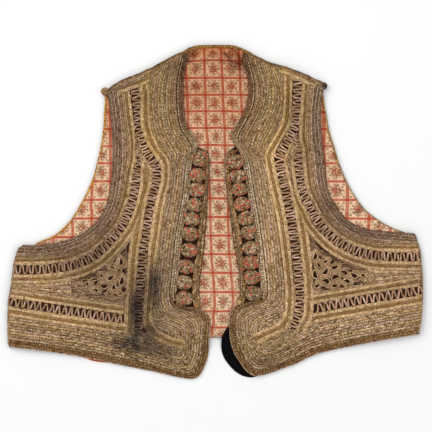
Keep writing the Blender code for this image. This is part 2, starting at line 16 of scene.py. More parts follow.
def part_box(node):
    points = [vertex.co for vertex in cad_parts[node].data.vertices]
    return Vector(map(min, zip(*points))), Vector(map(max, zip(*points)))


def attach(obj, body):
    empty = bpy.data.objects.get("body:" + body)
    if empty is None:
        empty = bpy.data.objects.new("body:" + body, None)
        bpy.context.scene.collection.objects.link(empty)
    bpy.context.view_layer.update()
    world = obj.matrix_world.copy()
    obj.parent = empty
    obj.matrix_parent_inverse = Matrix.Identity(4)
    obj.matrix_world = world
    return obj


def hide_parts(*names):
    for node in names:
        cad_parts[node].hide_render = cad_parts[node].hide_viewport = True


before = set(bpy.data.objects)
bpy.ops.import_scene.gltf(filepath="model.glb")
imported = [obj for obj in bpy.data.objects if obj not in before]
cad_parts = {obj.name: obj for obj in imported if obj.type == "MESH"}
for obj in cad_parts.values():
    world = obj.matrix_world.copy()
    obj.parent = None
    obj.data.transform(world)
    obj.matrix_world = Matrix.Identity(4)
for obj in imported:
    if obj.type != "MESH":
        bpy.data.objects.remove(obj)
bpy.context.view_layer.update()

bl_info = {
    "name": "Embroidered folk vest",
    "version": (1, 0, 0),
    "blender": (4, 5, 0),
    "location": "View3D > Sidebar > Vest",
    "description": "Sews braids, cords, buttons and printed lining onto a laid-out folk vest",
    "category": "Add Mesh",
}

SIDES = ("right", "left")
# Sign of x towards the middle of the vest
INWARD = {"right": 1, "left": -1}
MM = 0.001


# ---------------------------------------------------------------- the pattern

# Bands of cord: each row is one place along a band, x, y of its outer edge and x, y of its inner edge.
# The front band runs from the neck past the buttons, round the tongue and along the hem.
FRONT_BAND = {"right": [
    (-32.5, 204.5, -92.5, 174.5), (-40.2, 167, -96, 149.5), (-40.6, 133, -95.3, 122),
    (-36, 105.5, -91.4, 94.5), (-22.5, 83, -69.4, 59.5), (-29.5, 64.5, -67.1, 47), (-33.5, 20.5, -73.3, 14.5),
    (-42, -29.5, -81.6, -29.5), (-47, -79.5, -84.5, -75.5), (-49.5, -104.5, -88.8, -113),
    (-43.5, -117.3, -89.7, -137), (-24, -121, -76, -150.5), (-9, -131.5, -53, -158.5),
    (-8.5, -160.5, -41.5, -162), (-12.5, -188, -45, -166.5), (-27.5, -208, -57.5, -167),
    (-82.5, -198, -87.5, -158), (-115, -191.4, -116, -138), (-182.5, -177.9, -182.5, -129.5),
    (-259, -167.7, -257.5, -119.5),
], "left": [
    (31, 203, 95, 178), (41, 162, 96, 149.5), (40, 135.5, 95, 124.5), (31, 114.5, 90, 102), (21, 93, 74, 72),
    (32.5, 69.5, 74.5, 59.5), (40, 27, 82.5, 27), (48, -20.5, 91, -20.5), (54.5, -73, 96, -67),
    (57, -102, 99.5, -110.5), (49.5, -111.5, 96.5, -131), (34, -115, 84, -141), (19, -125.5, 60, -150),
    (19, -160.5, 46, -157), (30, -187, 55, -162), (50, -204.5, 74, -158), (95, -191.2, 99, -147),
    (127.5, -176.8, 125, -125.5), (192.5, -162.8, 190, -115), (256, -151.8, 255, -105.5),
]}
# From the shoulder knob down to the side seam
ARMHOLE_BAND = {"right": [
    (-135, 150.5, -107.5, 168), (-130, 114.5, -101.6, 117), (-128, 77, -97.7, 85.5), (-130, 37, -100.9, 42),
    (-136, 8, -108.5, 4.5), (-149, -13, -123.6, -26), (-167.5, -28, -149, -47.7), (-192.5, -38, -180, -60.6),
    (-222.5, -42.2, -217.5, -67.5), (-239, -42, -252.5, -69),
], "left": [
    (136, 162, 107.5, 173), (131, 129.5, 105, 132), (131, 102, 103, 102), (135, 64.5, 106, 64.5),
    (140, 27, 111, 27), (150, 7, 120.5, 3), (166, -12, 140, -22), (189, -22, 169, -42),
    (217.5, -25.5, 204, -50), (250, -28, 254, -53),
]}
# Inside the armhole's ladder, from where it leaves the front ladder to the side seam
UNDERARM_BRAID = {"right": [
    (-94.5, 68, -93.4, 67), (-92.3, 52, -85.7, 50.5), (-95.7, 17, -88.8, 14.5), (-104.4, -8, -97.5, -13),
    (-116.1, -28, -107.7, -39.5), (-134.3, -47.8, -125.1, -59.6), (-160, -63.8, -154, -77),
    (-190, -73, -187.5, -88), (-220, -77.5, -220, -92.5), (-254, -78, -255, -92.5),
], "left": [
    (99, 87, 97.5, 85.5), (98, 64.5, 92.5, 63), (104, 27, 98, 25.5), (110.5, 4.5, 102.5, -0.5),
    (123, -17, 114, -25.5), (141, -35, 134, -45.5), (164, -50.5, 159, -63), (190, -59, 187.5, -72),
    (220, -61, 219, -74.5), (255, -62, 256, -75.5),
]}
# Outside the front ladder, down to the tongue
MIDDLE_BRAID = {"right": [
    (-92.5, 73, -93.5, 72), (-78.8, 52, -85.7, 50.5), (-81.6, 24.5, -88.1, 24.5), (-86.1, -0.5, -94.1, 0.5),
    (-91.1, -25.5, -103.6, -23), (-95, -58, -109.5, -55.5), (-97.4, -88, -111.4, -88),
    (-101.5, -117, -114.5, -118), (-103.7, -138, -115.8, -139.5), (-99, -153, -112.5, -155.5),
], "left": [
    (96, 89.5, 97.5, 87), (83, 67, 90, 64.5), (89, 37, 95, 37), (95, 7, 102, 8), (101, -23, 114, -20.5),
    (105.5, -50.5, 119.5, -48), (108, -78, 121, -78), (110, -108, 122.5, -109.5), (109, -127, 121, -129.5),
    (99, -148, 114, -152),
]}
# Above the hem ladder
WAIST_BRAID = {"right": [
    (-255, -95.5, -254, -109.5), (-220, -97.5, -220, -113), (-170, -104, -170, -120.5),
    (-113.6, -113, -114.6, -128.4),
], "left": [
    (122, -99.5, 124.5, -115.4), (167.5, -92, 167.5, -108), (207.5, -85, 207.5, -100.5),
    (255, -79.5, 254, -94),
]}
# From the front ladder into the tongue
TONGUE_BRAID = {"right": [
    (-79.5, -126, -91.5, -128), (-77.5, -136, -90, -143), (-71.5, -146, -83, -155),
    (-64, -151.5, -73, -161.5), (-54, -156.5, -58.8, -168.5), (-38.5, -159, -40, -172),
], "left": [
    (86, -120, 98, -124), (84.5, -128, 96, -135), (79, -136.5, 90.5, -146), (71, -141.5, 79.5, -153),
    (60, -146.5, 66.5, -159), (47.5, -152, 53, -166),
]}
# Short rows between the underarm and the waist braid
WEDGE = {"right": [
    (-256, -92, -256, -96), (-220, -91, -220, -98), (-200, -88.5, -200, -101), (-186, -86, -184, -102.5),
], "left": [
    (258, -75, 258, -80), (219, -73.5, 219, -84), (203, -72, 203, -87), (192, -70, 190, -89),
]}
# Along the top of the shoulder
SHOULDER_CAP = {"right": [
    (-129, 155.8, -119, 147.3), (-119, 161.5, -112, 149), (-104, 167.5, -100, 153.2),
    (-92, 172.3, -88, 157.6), (-86, 174.6, -82, 160.6),
], "left": [
    (132, 163, 123, 155.6), (121, 167, 114, 158.1), (107, 172.5, 101, 164.6), (91, 178.5, 86, 170.6),
    (84, 181, 79, 173.6),
]}
# Middles of the open ladder bands: x, y, width
ARM_LADDER = {"right": [
    (-95.3, 66.9, 4), (-96, 60.6, 6.2), (-98.2, 48.8, 8.1), (-99.6, 33.1, 9), (-102.9, 17.5, 9),
    (-107.3, 1.9, 9), (-112.2, -9.4, 9), (-116, -18, 9), (-131.6, -37.2, 9.2), (-151, -55.2, 10),
    (-176, -66.4, 10.2), (-201, -71, 10.2), (-225, -72.4, 10.2), (-258.8, -72.1, 10.2),
], "left": [
    (101.6, 90.6, 4), (101.7, 84.4, 6.9), (102.4, 74.4, 8.8), (103, 64.4, 9), (105.2, 41.1, 9),
    (109, 23.2, 9.2), (117.9, 5.6, 9.5), (126, -10.5, 9.8), (146, -33, 10), (167.5, -46, 10.2),
    (192.5, -54, 10.2), (217.5, -56, 10.2), (260, -56.4, 10.2),
]}
FRONT_LADDER = {"right": [
    (-100.2, 153, 9.6), (-99.8, 148, 9.6), (-98.8, 139.4, 9.4), (-98.3, 126.9, 7.2), (-97.6, 114.4, 6.8),
    (-96.4, 103.1, 6.8), (-93.2, 91.9, 7.5), (-89.2, 80.6, 8.5), (-85.4, 71.9, 9.5), (-79.6, 64.4, 10),
    (-74.9, 58.1, 10), (-73.3, 51.9, 10), (-73.2, 44.4, 9.8), (-74.6, 33.1, 9.4), (-78.9, 17.5, 9.4),
    (-82.3, 1.9, 9.2), (-84.7, -13.8, 9.2), (-88, -35.6, 9.2), (-91.4, -60, 9.2), (-93.4, -91.2, 9.4),
    (-95.5, -122.5, 9.5), (-95.6, -151.9, 9.5),
], "left": [
    (102.6, 170, 10.6), (102.5, 165.6, 10.6), (102.1, 151.9, 9.2), (101.6, 133.1, 8.8), (100.4, 114.4, 9.5),
    (97.3, 101.9, 10), (90.6, 89.4, 10.2), (83.8, 76.9, 10.2), (79.4, 69.4, 10.6), (78.5, 64.4, 10.6),
    (79.9, 59, 10.6), (83.4, 41.1, 10.6), (87.9, 23.2, 10.6), (91.6, 5.5, 10.6), (95, -12.4, 10.6),
    (97.6, -30.2, 10.6), (100.1, -48.1, 10.6), (102.4, -66, 10.6), (103.8, -83.9, 10.4), (105, -101.7, 10),
    (103.1, -126.9, 9.8), (94.4, -145.6, 9.4),
]}
HEM_LADDER = {"right": [
    (-261.2, -112.1, 9.2), (-240, -115.1, 9.2), (-207.5, -120.5, 9.4), (-157.5, -128, 9.5),
    (-115, -134.4, 9.5),
], "left": [
    (260, -97.3, 9.2), (217.5, -104.5, 9.5), (167.5, -113, 9.5), (124.5, -120.6, 9.5),
]}
# Outline of the cloth at both side seams, from the armhole down
SIDE_END = {"right": [
    (-233, -41.8), (-240.5, -42), (-245.2, -44.6), (-247.9, -50.5), (-252, -64), (-254.1, -80), (-255.9, -95),
    (-258, -106), (-259.3, -114), (-259.7, -148), (-259.1, -166), (-256.6, -170),
], "left": [
    (247.6, -27.5), (251.1, -30), (252.9, -40), (255.6, -48), (256.7, -63), (258.4, -80), (258.7, -103),
    (258, -118), (256.5, -135), (253.9, -151), (249.4, -155.5),
]}
# Outline along the shoulders, from knob to neck
SHOULDER_LINE = {"right": [
    (-136, 149.8), (-130.5, 156), (-122.5, 161.1), (-115, 165), (-107.5, 168.3), (-100, 171.1),
    (-92.5, 174.1), (-85, 177.4), (-77.5, 181), (-70, 184.9), (-62.5, 188.9), (-55, 193.4), (-47.5, 196.8),
    (-40, 199.6), (-32.5, 202.6), (-25, 205.8), (-12, 208.1),
], "left": [
    (138, 156.4), (132.5, 161.8), (125, 164.1), (117.5, 168.8), (110, 172.4), (102.5, 175.6), (95, 178.1),
    (87.5, 180.8), (80, 183), (72.5, 184.5), (65, 186.9), (57.5, 190.8), (50, 194.3), (42.5, 197.7),
    (35, 201.1), (27.5, 204.1), (14, 207.6),
]}
# Edge of the back at both armholes, from the knob down
ARMHOLE_EDGE = {"right": [
    (-138, 146), (-138.2, 133), (-139.2, 121.5), (-139.6, 110.5), (-140.2, 102), (-141.5, 92), (-144, 77),
    (-147.5, 62), (-151.3, 47), (-157, 32), (-164, 17), (-172.5, 2), (-182, -12.5), (-190, -20.5),
    (-199, -28.5), (-214, -35.5), (-224, -39.5),
], "left": [
    (134.5, 145), (136.5, 129), (138, 122), (140.3, 107), (144.2, 91.5), (149, 77), (153.5, 62), (159.5, 47),
    (166.5, 32), (175.5, 17), (181, 9), (188, 1), (197.5, -6.5), (208.5, -14), (223.5, -21.5), (236, -26),
]}
# Top edge of the neck stand
NECK_EDGE = [
    (-47, 196), (-38, 200.5), (-30, 204.5), (-22, 206.6), (0, 207.2), (20, 206.8), (28, 205), (36, 201.5),
    (46, 196.5),
]
# Where the seam allowance of each neck corner lies, beyond the front's own edge
NECK_TIPS = {"front_right": [
    (-62, 190), (-36.5, 206.5), (-31, 206.5), (-33, 192), (-38, 178), (-50, 178),
], "front_left": [
    (62, 192), (58, 195), (30, 206.5), (27, 205), (32, 190), (40, 175), (52, 178),
]}
# Cords laid under the bands where they part: turn in degrees, then the outline
PADDING = {"right": [
    (80, (-101.9, 95), (-97, 93), (-93, 80), (-87, 65), (-81, 54), (-79, 38), (-91, 38), (-92, 52),
     (-93.5, 66), (-100.5, 70)),
    (-32, (-88, -126), (-70, -136), (-48, -148), (-38, -163), (-50, -168), (-74, -158), (-92, -140)),
    (-20, (-106, -151), (-90, -149), (-80, -153), (-72, -161), (-50, -172), (-66, -178), (-95, -170),
     (-106, -162)),
    (-2, (-262, -86), (-168, -78), (-173, -94), (-166, -106), (-262, -104)),
    (-8, (-174, -99), (-112, -108.5), (-112, -114), (-174, -107)),
], "left": [
    (100, (96, 98), (106, 98), (106, 78), (98.5, 64), (97, 30), (85, 30), (84, 58), (92, 79)),
    (25, (58, -150), (80, -143), (90, -146), (103, -147), (105, -158), (86, -166), (64, -171), (48, -170)),
    (25, (40, -158), (53, -153), (55, -172), (42, -170)), (2, (200, -71), (262, -68), (262, -92), (200, -90)),
]}
# Cord round the first button of each row and down the outer edge of the knotted strip
STRIP_CORD = {"right": [
    (-24, 76), (-16, 74), (-11.5, 67), (-10.5, 56), (-11, 40), (-14, 16), (-17, -8), (-20, -34), (-22.5, -60),
    (-24.5, -88), (-25, -112),
], "left": [
    (27, 75), (20, 74), (14.5, 69.5), (13, 60), (13.5, 46), (16, 26), (19.5, 4), (25, -22), (29.5, -50),
    (32, -78), (32.5, -104),
]}
# Edge of the cut-cord panel in each front's corner
CORNER_PANEL = {"right": [
    (-114, -38), (-111.5, -63), (-112.5, -108), (-117.5, -109.5), (-145, -105.5), (-176, -98), (-181, -94),
    (-170, -87), (-157.5, -80.5), (-141, -70.5), (-127.5, -59.5),
], "left": [
    (120, -28), (119.5, -98), (125, -99.5), (161, -92), (195, -85.5), (204, -82), (192.5, -75.5),
    (167.5, -67.5), (142.5, -55.5), (132.5, -49.5),
]}
# Leaf-shaped holes in the cord work: x, y, length, turn in degrees, bend
PANEL_LEAVES = {"right": [
    (-118, -62, 8, 95, 0.3), (-121, -74, 7, 35, -0.4), (-129, -70, 7, 150, 0.3), (-117, -86, 9, 80, 0.3),
    (-131, -82, 9, 20, 0.5), (-141, -80, 7, 150, -0.3), (-126, -95, 9, 100, -0.5), (-138, -92, 9, 15, 0.6),
    (-149, -88, 9, 25, 0.3), (-119, -102, 6, 10, 0.3), (-132, -102, 7, 165, -0.3), (-150, -98, 7, 160, 0.4),
    (-160, -91, 9, 20, -0.3), (-169, -93, 7, 170, 0.2),
], "left": [
    (124, -55, 8, 85, 0.3), (129, -66, 7, 140, -0.4), (137, -62, 7, 30, 0.3), (124, -78, 9, 100, -0.3),
    (137, -74, 9, 60, 0.5), (149, -69, 8, 25, 0.3), (127, -92, 7, 30, 0.3), (137, -87, 9, 160, 0.5),
    (150, -82, 9, 10, -0.6), (160, -76, 8, 155, 0.3), (149, -92, 7, 15, 0.3), (163, -87, 8, 165, 0.4),
    (172, -79, 9, 150, -0.3), (184, -80, 8, 165, 0.3), (193, -81, 6, 170, 0.2),
]}
# Small gaps between the cords of each corner panel: x, y, length, turn
PANEL_GAPS = {"right": [
    (-130, -68, 6, 60), (-115, -73, 6, 100), (-150, -84, 6, 25), (-163, -87, 6, 20), (-178, -95, 5, 170),
    (-166, -102, 6, 170), (-148, -105, 6, 5), (-122, -90, 6, 110), (-115, -97, 7, 95), (-138, -99, 7, 20),
    (-125, -104, 6, 130),
], "left": [
    (130, -57, 6, 120), (145, -63, 6, 30), (121, -70, 6, 95), (122, -86, 6, 80), (143, -84, 6, 20),
    (157, -83, 6, 150), (167, -74, 6, 160), (178, -83, 6, 10), (134, -95, 6, 10), (157, -93, 6, 170),
    (173, -89, 6, 165),
]}
# Middles of the buttons, from the neck down
BUTTON_ROWS = {"right": [
    (-20, 65.5), (-22.5, 45), (-23.5, 27), (-26.5, 8), (-30, -9.5), (-32, -28), (-33, -48), (-37, -68.5),
    (-39, -88.5), (-39, -108),
], "left": [
    (25, 62), (28, 44), (30, 27.5), (32.5, 9.5), (37.5, -8.5), (41, -26), (44, -45.5), (44, -63.5), (45, -82),
    (47, -102),
]}
# How red each button's knots are worn to
BUTTON_REDS = {
    "right": (1, 0.8, 1, 0.25, 0.8, 0.5, 0.7, 0.9, 0.4, 0.7),
    "left": (0.9, 0.8, 1, 0.9, 0.6, 0.9, 0.6, 1, 0.8, 0.5),
}
# Middles of the shoulder knobs
KNOBS = {
    "right": (-137.8, 149.6),
    "left": (139.6, 156.8),
}
# Dark soaked places: x, y, reach across, reach along, depth
STAINS = [
    (-97.5, -122, 11, 42, 0.97), (-78, -92, 7, 27, 0.93), (-76, -114, 11, 30, 0.42), (-70, -92, 6, 20, 0.45),
    (-104, -165, 27, 13, 0.9), (-84, -150, 16, 12, 0.8), (-70, -172, 30, 10, 0.45), (-62, -60, 5, 22, 0.3),
    (60, -190, 22, 6, 0.2),
]
# Tarnished places: x, y, reach across, reach along, depth
TARNISH = [
    (-132, 60, 14, 70, 0.75), (-150, -22, 36, 16, 0.95), (-200, -46, 50, 11, 0.8), (-46, 150, 12, 46, 0.75),
    (44, 150, 12, 48, 0.9), (36, 118, 12, 20, 0.7), (30, 95, 10, 14, 0.6), (152, 0, 22, 18, 0.85),
    (185, -28, 40, 12, 0.8), (236, -30, 30, 9, 0.7), (136, 60, 9, 60, 0.5), (-62, -160, 40, 14, 0.3),
    (-22, -150, 16, 26, 0.2), (-124, 104, 10, 60, 0.3),
]
# Places with stronger or weaker colour: x, y, reach across, reach along, gain
STRENGTH = [
    (69, -10, 16, 66, 0.42), (-74, -10, 14, 60, 0.07), (192, -139, 70, 16, 0.15), (116, 96, 15, 55, -0.27),
    (-120, 95, 14, 52, -0.17), (-202, -50, 52, 10, -0.3), (-190, -121, 60, 8, -0.16),
    (-200, -163, 70, 6, -0.13), (-39, -182, 36, 22, -0.22), (49, -180, 36, 26, -0.14),
    (-146, -94, 40, 24, -0.24), (198, -30, 40, 10, -0.1), (68, 139, 24, 36, -0.16), (44, 139, 8, 30, 0.2),
    (52, -66, 9, 46, -0.16), (-50, -66, 8, 40, -0.1), (96, 104, 13, 50, -0.32), (-132, -50, 30, 18, -0.3),
    (-172, -62, 32, 18, -0.3), (-46, 176, 26, 14, -0.34), (40, 182, 12, 12, -0.18), (172, -14, 24, 15, -0.32),
    (190, -66, 30, 24, -0.15), (-82, -108, 7, 30, -0.2), (37, 32, 10, 30, -0.13), (-22, 92, 10, 12, -0.2),
    (52, -118, 9, 12, 0.15), (-112, -148, 14, 12, -0.16), (-112, -178, 16, 11, 0.17), (62, -86, 12, 34, 0.2),
    (247, -73, 14, 14, -0.17), (-97, 152, 16, 12, -0.18),
]
# Lines of the printed check, in millimetres across and along
CHECK_ACROSS = (
    -246, -226, -203, -179, -154, -132, -108, -83, -59, -36.5, -12.5, 8.5, 30.5, 54, 80, 107, 135, 165, 192,
    218, 244,
)
CHECK_ALONG = (
    -184, -167, -144, -124.5, -100.5, -76, -53, -29.5, -7, 16.5, 39.5, 62, 83, 104.5, 125.5, 146, 167, 187.5,
    204, 222,
)
# Soft creases of the lining: from x, y to x, y, width, height
LINING_CREASES = [
    (-34, 172, 24, 176, 7, 0.8), (20, 190, 38, 150, 6, 1.5), (-20, 110, -8, 40, 9, 0.5),
    (12, 120, 2, 60, 8, 0.5), (-4, 20, 6, -60, 9, 0.6), (-190, -6, -160, -20, 7, 0.6),
    (-150, 80, -143, 30, 5, 0.5), (165, 10, 190, -18, 7, 0.6), (8, -80, 0, -140, 8, 0.7),
    (-30, 140, 10, 132, 8, 0.4),
]


# ---------------------------------------------------------------- sizes, colours and stage

# Threads as they look in daylight: red, green and blue from 0 to 255
DYES = {
    "light_gold": (196, 162, 116), "gold": (180, 147, 101), "tan": (175, 143, 103),
    "grey_gold": (169, 141, 107), "olive": (150, 114, 66), "edge_gold": (150, 117, 79),
    "pale": (192, 168, 130), "tarnish": (124, 87, 61), "stain": (40, 34, 34),
    "rose_tan": (174, 138, 105), "moss": (128, 104, 72), "moss_tan": (172, 134, 92),
    "umber": (127, 101, 81), "rubbed": (204, 174, 132),
}


class VestSizes(bpy.types.PropertyGroup):
    """Sizes a maker would change."""
    ladder_cord: bpy.props.FloatProperty(
        name="Ladder cord", description="Thickness of the cord that winds in the ladders",
        default=0.0024, min=0.0008, max=0.004, unit="LENGTH", subtype="DISTANCE")
    ladder_step: bpy.props.FloatProperty(
        name="Ladder step", description="Distance between two turns of the ladder cord",
        default=0.0076, min=0.004, max=0.012, unit="LENGTH", subtype="DISTANCE")
    braid_rise: bpy.props.FloatProperty(
        name="Braid rise", description="How far a braid stands above the cloth",
        default=0.0011, min=0.0003, max=0.003, unit="LENGTH", subtype="DISTANCE")
    button_wraps: bpy.props.IntProperty(
        name="Button wraps", description="Threads wrapped over each button", default=26, min=12, max=48)


class VestColours(bpy.types.PropertyGroup):
    """Colours of the plain materials."""
    cotton: bpy.props.FloatVectorProperty(
        name="Cotton", description="Ground of the printed lining",
        default=(0.9, 0.64, 0.44), size=3, min=0, max=1, subtype="COLOR")
    print_red: bpy.props.FloatVectorProperty(
        name="Print red", description="Red of the printed check",
        default=(0.44, 0.06, 0.025), size=3, min=0, max=1, subtype="COLOR")
    print_olive: bpy.props.FloatVectorProperty(
        name="Print olive", description="Olive of the printed sprigs",
        default=(0.15, 0.1, 0.032), size=3, min=0, max=1, subtype="COLOR")
    tape: bpy.props.FloatVectorProperty(
        name="Tape", description="Colour of the waist tape",
        default=(0.0022, 0.0023, 0.0032), size=3, min=0, max=1, subtype="COLOR")
    wool: bpy.props.FloatVectorProperty(
        name="Wool", description="Ground cloth of the fronts and back",
        default=(0.032, 0.011, 0.006), size=3, min=0, max=1, subtype="COLOR")


class VestStage(bpy.types.PropertyGroup):
    """Table, lights and camera."""
    camera_height: bpy.props.FloatProperty(
        name="Camera height", description="Height of the camera above the table",
        default=2.6, min=1, max=6, unit="LENGTH", subtype="DISTANCE")
    view_width: bpy.props.FloatProperty(
        name="View width", description="Width of table in the picture",
        default=0.54, min=0.3, max=1.5, unit="LENGTH", subtype="DISTANCE")
    key_power: bpy.props.FloatProperty(
        name="Main light", description="Power of the large soft light",
        default=17, min=0, max=200, unit="POWER", subtype="POWER")
    fill_power: bpy.props.FloatProperty(
        name="Fill light", description="Power of the fill light",
        default=7, min=0, max=200, unit="POWER", subtype="POWER")
    sky: bpy.props.FloatProperty(
        name="Room light", description="Strength of the even light of the room", default=0.62, min=0, max=3)


# ---------------------------------------------------------------- measuring

def daylight(rgb):
    """A colour in 0 to 255 steps as the linear values a shader takes."""
    c = np.asarray(rgb, float) / 255
    return np.where(c <= 0.04045, c / 12.92, ((c + 0.055) / 1.055) ** 2.4)


DYE = {name: daylight(rgb) for name, rgb in DYES.items()}


def box_of(node):
    """Both corners of a solid's box, in millimetres."""
    return np.array(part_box(node)) / MM


# How far the paper pattern lies from the frame
SHIFT = box_of("shoulder_knob_right").mean(0)[:2] - KNOBS["right"]


def on_paper(points):
    """x and y of the points on the paper pattern."""
    return points[:, 0] - SHIFT[0], points[:, 1] - SHIFT[1]


def ramp(value, start, end):
    """0 up to the start, 1 past the end and even between them; the start may be the larger."""
    return np.clip((value - start) / (end - start), 0, 1)


def bell(value, middle, reach):
    """1 at the middle and almost 0 at twice the reach."""
    return np.exp(-((value - middle) / reach) ** 2)


def smooth_rows(rows, each):
    """A rounded line through the rows, each span cut into the same number of steps."""
    p = np.array(rows, float)
    t = (np.arange(each) / each)[:, None]
    out = []
    for i in range(len(p) - 1):
        a, b = p[i], p[i + 1]
        before, after = p[max(i - 1, 0)], p[min(i + 2, len(p) - 1)]
        length = np.linalg.norm(b - a)
        leave, arrive = (b - before) / 2, (after - a) / 2
        leave = leave * min(1.0, length / max(np.linalg.norm(leave), 1e-6))
        arrive = arrive * min(1.0, length / max(np.linalg.norm(arrive), 1e-6))
        out.append((2 * t ** 3 - 3 * t ** 2 + 1) * a + (t ** 3 - 2 * t ** 2 + t) * leave
                   + (3 * t ** 2 - 2 * t ** 3) * b + (t ** 3 - t ** 2) * arrive)
    return np.vstack(out + [p[-1:]])


def run_of(line):
    """Length of the line up to each of its points."""
    return np.concatenate(([0.0], np.cumsum(np.linalg.norm(np.diff(line, axis=0), axis=1))))


def even(line, step):
    """The line with its points about one step apart."""
    run = run_of(line)
    count = max(2, int(round(run[-1] / step)) + 1)
    at = np.linspace(0, run[-1], count)
    return np.stack([np.interp(at, run, line[:, k]) for k in range(line.shape[1])], axis=1)


# Millimetres between two points of a cord's line
PACE = 0.8


def cord_line(rows):
    """A rounded line through the rows, with a point at each pace."""
    return even(smooth_rows(rows, 6), PACE)


def left_of(line):
    """The way to the left of the line at each point, one millimetre long."""
    way = np.gradient(line[:, :2], axis=0)
    side = np.stack((-way[:, 1], way[:, 0]), axis=1)
    return side / np.maximum(np.linalg.norm(side, axis=1), 1e-9)[:, None]


def holds(loop, points):
    """Which of the points lie inside the loop."""
    a, b = loop, np.roll(loop, -1, axis=0)
    x, y = points[:, 0:1], points[:, 1:2]
    up = (a[:, 1] > y) != (b[:, 1] > y)
    cut = a[:, 0] + (y - a[:, 1]) * (b[:, 0] - a[:, 0]) / np.where(up, b[:, 1] - a[:, 1], 1.0)
    return (np.sum(up & (x < cut), axis=1) % 2) == 1


def distance_to(line, points):
    """Distance of each point to an open line."""
    a, d = line[:-1], np.diff(line, axis=0)
    t = np.clip(((points[:, None] - a) * d).sum(2) / np.maximum((d * d).sum(1), 1e-9), 0, 1)
    return np.linalg.norm(a + d * t[..., None] - points[:, None], axis=2).min(1)


class Lay:
    """Height of a solid's upper face, read on a fine grid, in millimetres."""

    # How far the grid reaches past the solid
    MARGIN = 4
    # Past its edge the face runs on for some squares of the grid, dropping a little at each
    RUN_ON, DROP = 8, 0.12

    def __init__(self, node, pitch=1.25):
        self.pitch = pitch
        low, high = box_of(node)[:, :2]
        self.low = low - self.MARGIN
        across, along = np.ceil((high + self.MARGIN - self.low) / pitch).astype(int) + 1
        z = self.read(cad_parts[node].data, across, along)
        self.real = ~np.isnan(z)
        if node in NECK_TIPS:
            x, y = np.meshgrid(*(low + np.arange(n) * pitch for low, n in zip(self.low, (across, along))))
            tip = np.array(NECK_TIPS[node], float) + SHIFT
            self.real |= holds(tip, np.column_stack((x.ravel(), y.ravel()))).reshape(self.real.shape)
        for _ in range(self.RUN_ON):
            pad = np.pad(z, 1, constant_values=np.nan)
            near = np.stack([pad[1 + dj:pad.shape[0] - 1 + dj, 1 + di:pad.shape[1] - 1 + di]
                             for dj in (-1, 0, 1) for di in (-1, 0, 1)])
            count = np.sum(~np.isnan(near), axis=0)
            mean = np.nansum(near, axis=0) / np.maximum(count, 1)
            z = np.where(np.isnan(z) & (count > 0), mean - self.DROP, z)
        self.z = np.nan_to_num(z, nan=0.0)

    def read(self, mesh, across, along):
        """The height of the mesh at each place of the grid, nan where there is none."""
        mesh.calc_loop_triangles()
        tree = BVHTree.FromPolygons([v.co[:] for v in mesh.vertices],
                                    [t.vertices[:] for t in mesh.loop_triangles])
        z = np.full((along, across), np.nan)
        down = Vector((0, 0, -1))
        for j in range(along):
            for i in range(across):
                spot = (self.low + np.array((i, j)) * self.pitch) * MM
                hit = tree.ray_cast(Vector((spot[0], spot[1], 1.0)), down)
                if hit[0] is not None:
                    z[j, i] = hit[0].z / MM
        return z

    def __call__(self, points):
        """The height under each point, even between the places of the grid."""
        q = (np.asarray(points)[:, :2] - self.low) / self.pitch
        ny, nx = self.z.shape
        i = np.clip(np.floor(q[:, 0]).astype(int), 0, nx - 2)
        j = np.clip(np.floor(q[:, 1]).astype(int), 0, ny - 2)
        u = np.clip(q[:, 0] - i, 0, 1)
        v = np.clip(q[:, 1] - j, 0, 1)
        z = self.z
        return ((z[j, i] * (1 - u) + z[j, i + 1] * u) * (1 - v)
                + (z[j + 1, i] * (1 - u) + z[j + 1, i + 1] * u) * v)


@cache
def lay(node):
    """The lay of a solid, read once."""
    return Lay(node)


# ---------------------------------------------------------------- age of the thread

# Gilt has lasted along the hem and, near the middle, towards the neck: it takes blue out of a dye
GILT_MIDDLE, GILT_AWAY, GILT_ACROSS = -45, (100, 120), (105, 90)
GILT_LOSS = np.array((0.0, 0.01, 0.15))
# Tarnish is greyer towards the sides
GREY_ACROSS, GREY_GAIN = (90, 110), np.array((0.1, 0.22, 0.42))
MOST_TARNISH, TARNISH_COVER, MOST_STAIN = 0.95, 0.8, 0.93
# Couched cords wear more low down, from further up on the left front, but not so at the side seams
WEAR, LOW_WEAR, LOW_FROM, LEFT_EARLIER, LOW_ACROSS = 0.23, 0.2, (140, 154), 25, 235


def spots(table, points):
    """How strongly each soft spot of a table (x, y, reach across and along, strength) acts at the points."""
    x, y = on_paper(points)
    for spot_x, spot_y, across, along, most in table:
        yield most * bell(x, spot_x, across) * bell(y, spot_y, along)


def covered(table, points):
    """How far the soft spots of a table cover each point, 0 to 1."""
    return 1 - np.prod([1 - s for s in spots(table, points)], axis=0)


def strength(points):
    """Where the thread has kept more of its colour, or less, than elsewhere."""
    return np.prod([1 + s for s in spots(STRENGTH, points)], axis=0)


def blotch(points, scale, seed):
    """A smooth uneven field between 0 and 1, the same each time."""
    rng = np.random.default_rng(seed)
    total = np.zeros(len(points))
    waves = 7
    for _ in range(waves):
        way = rng.normal(size=2) / scale
        total += np.sin(points[:, 0] * way[0] + points[:, 1] * way[1] + rng.uniform(0, 6.3))
    return np.clip(0.5 + total / (waves + 2), 0, 1)


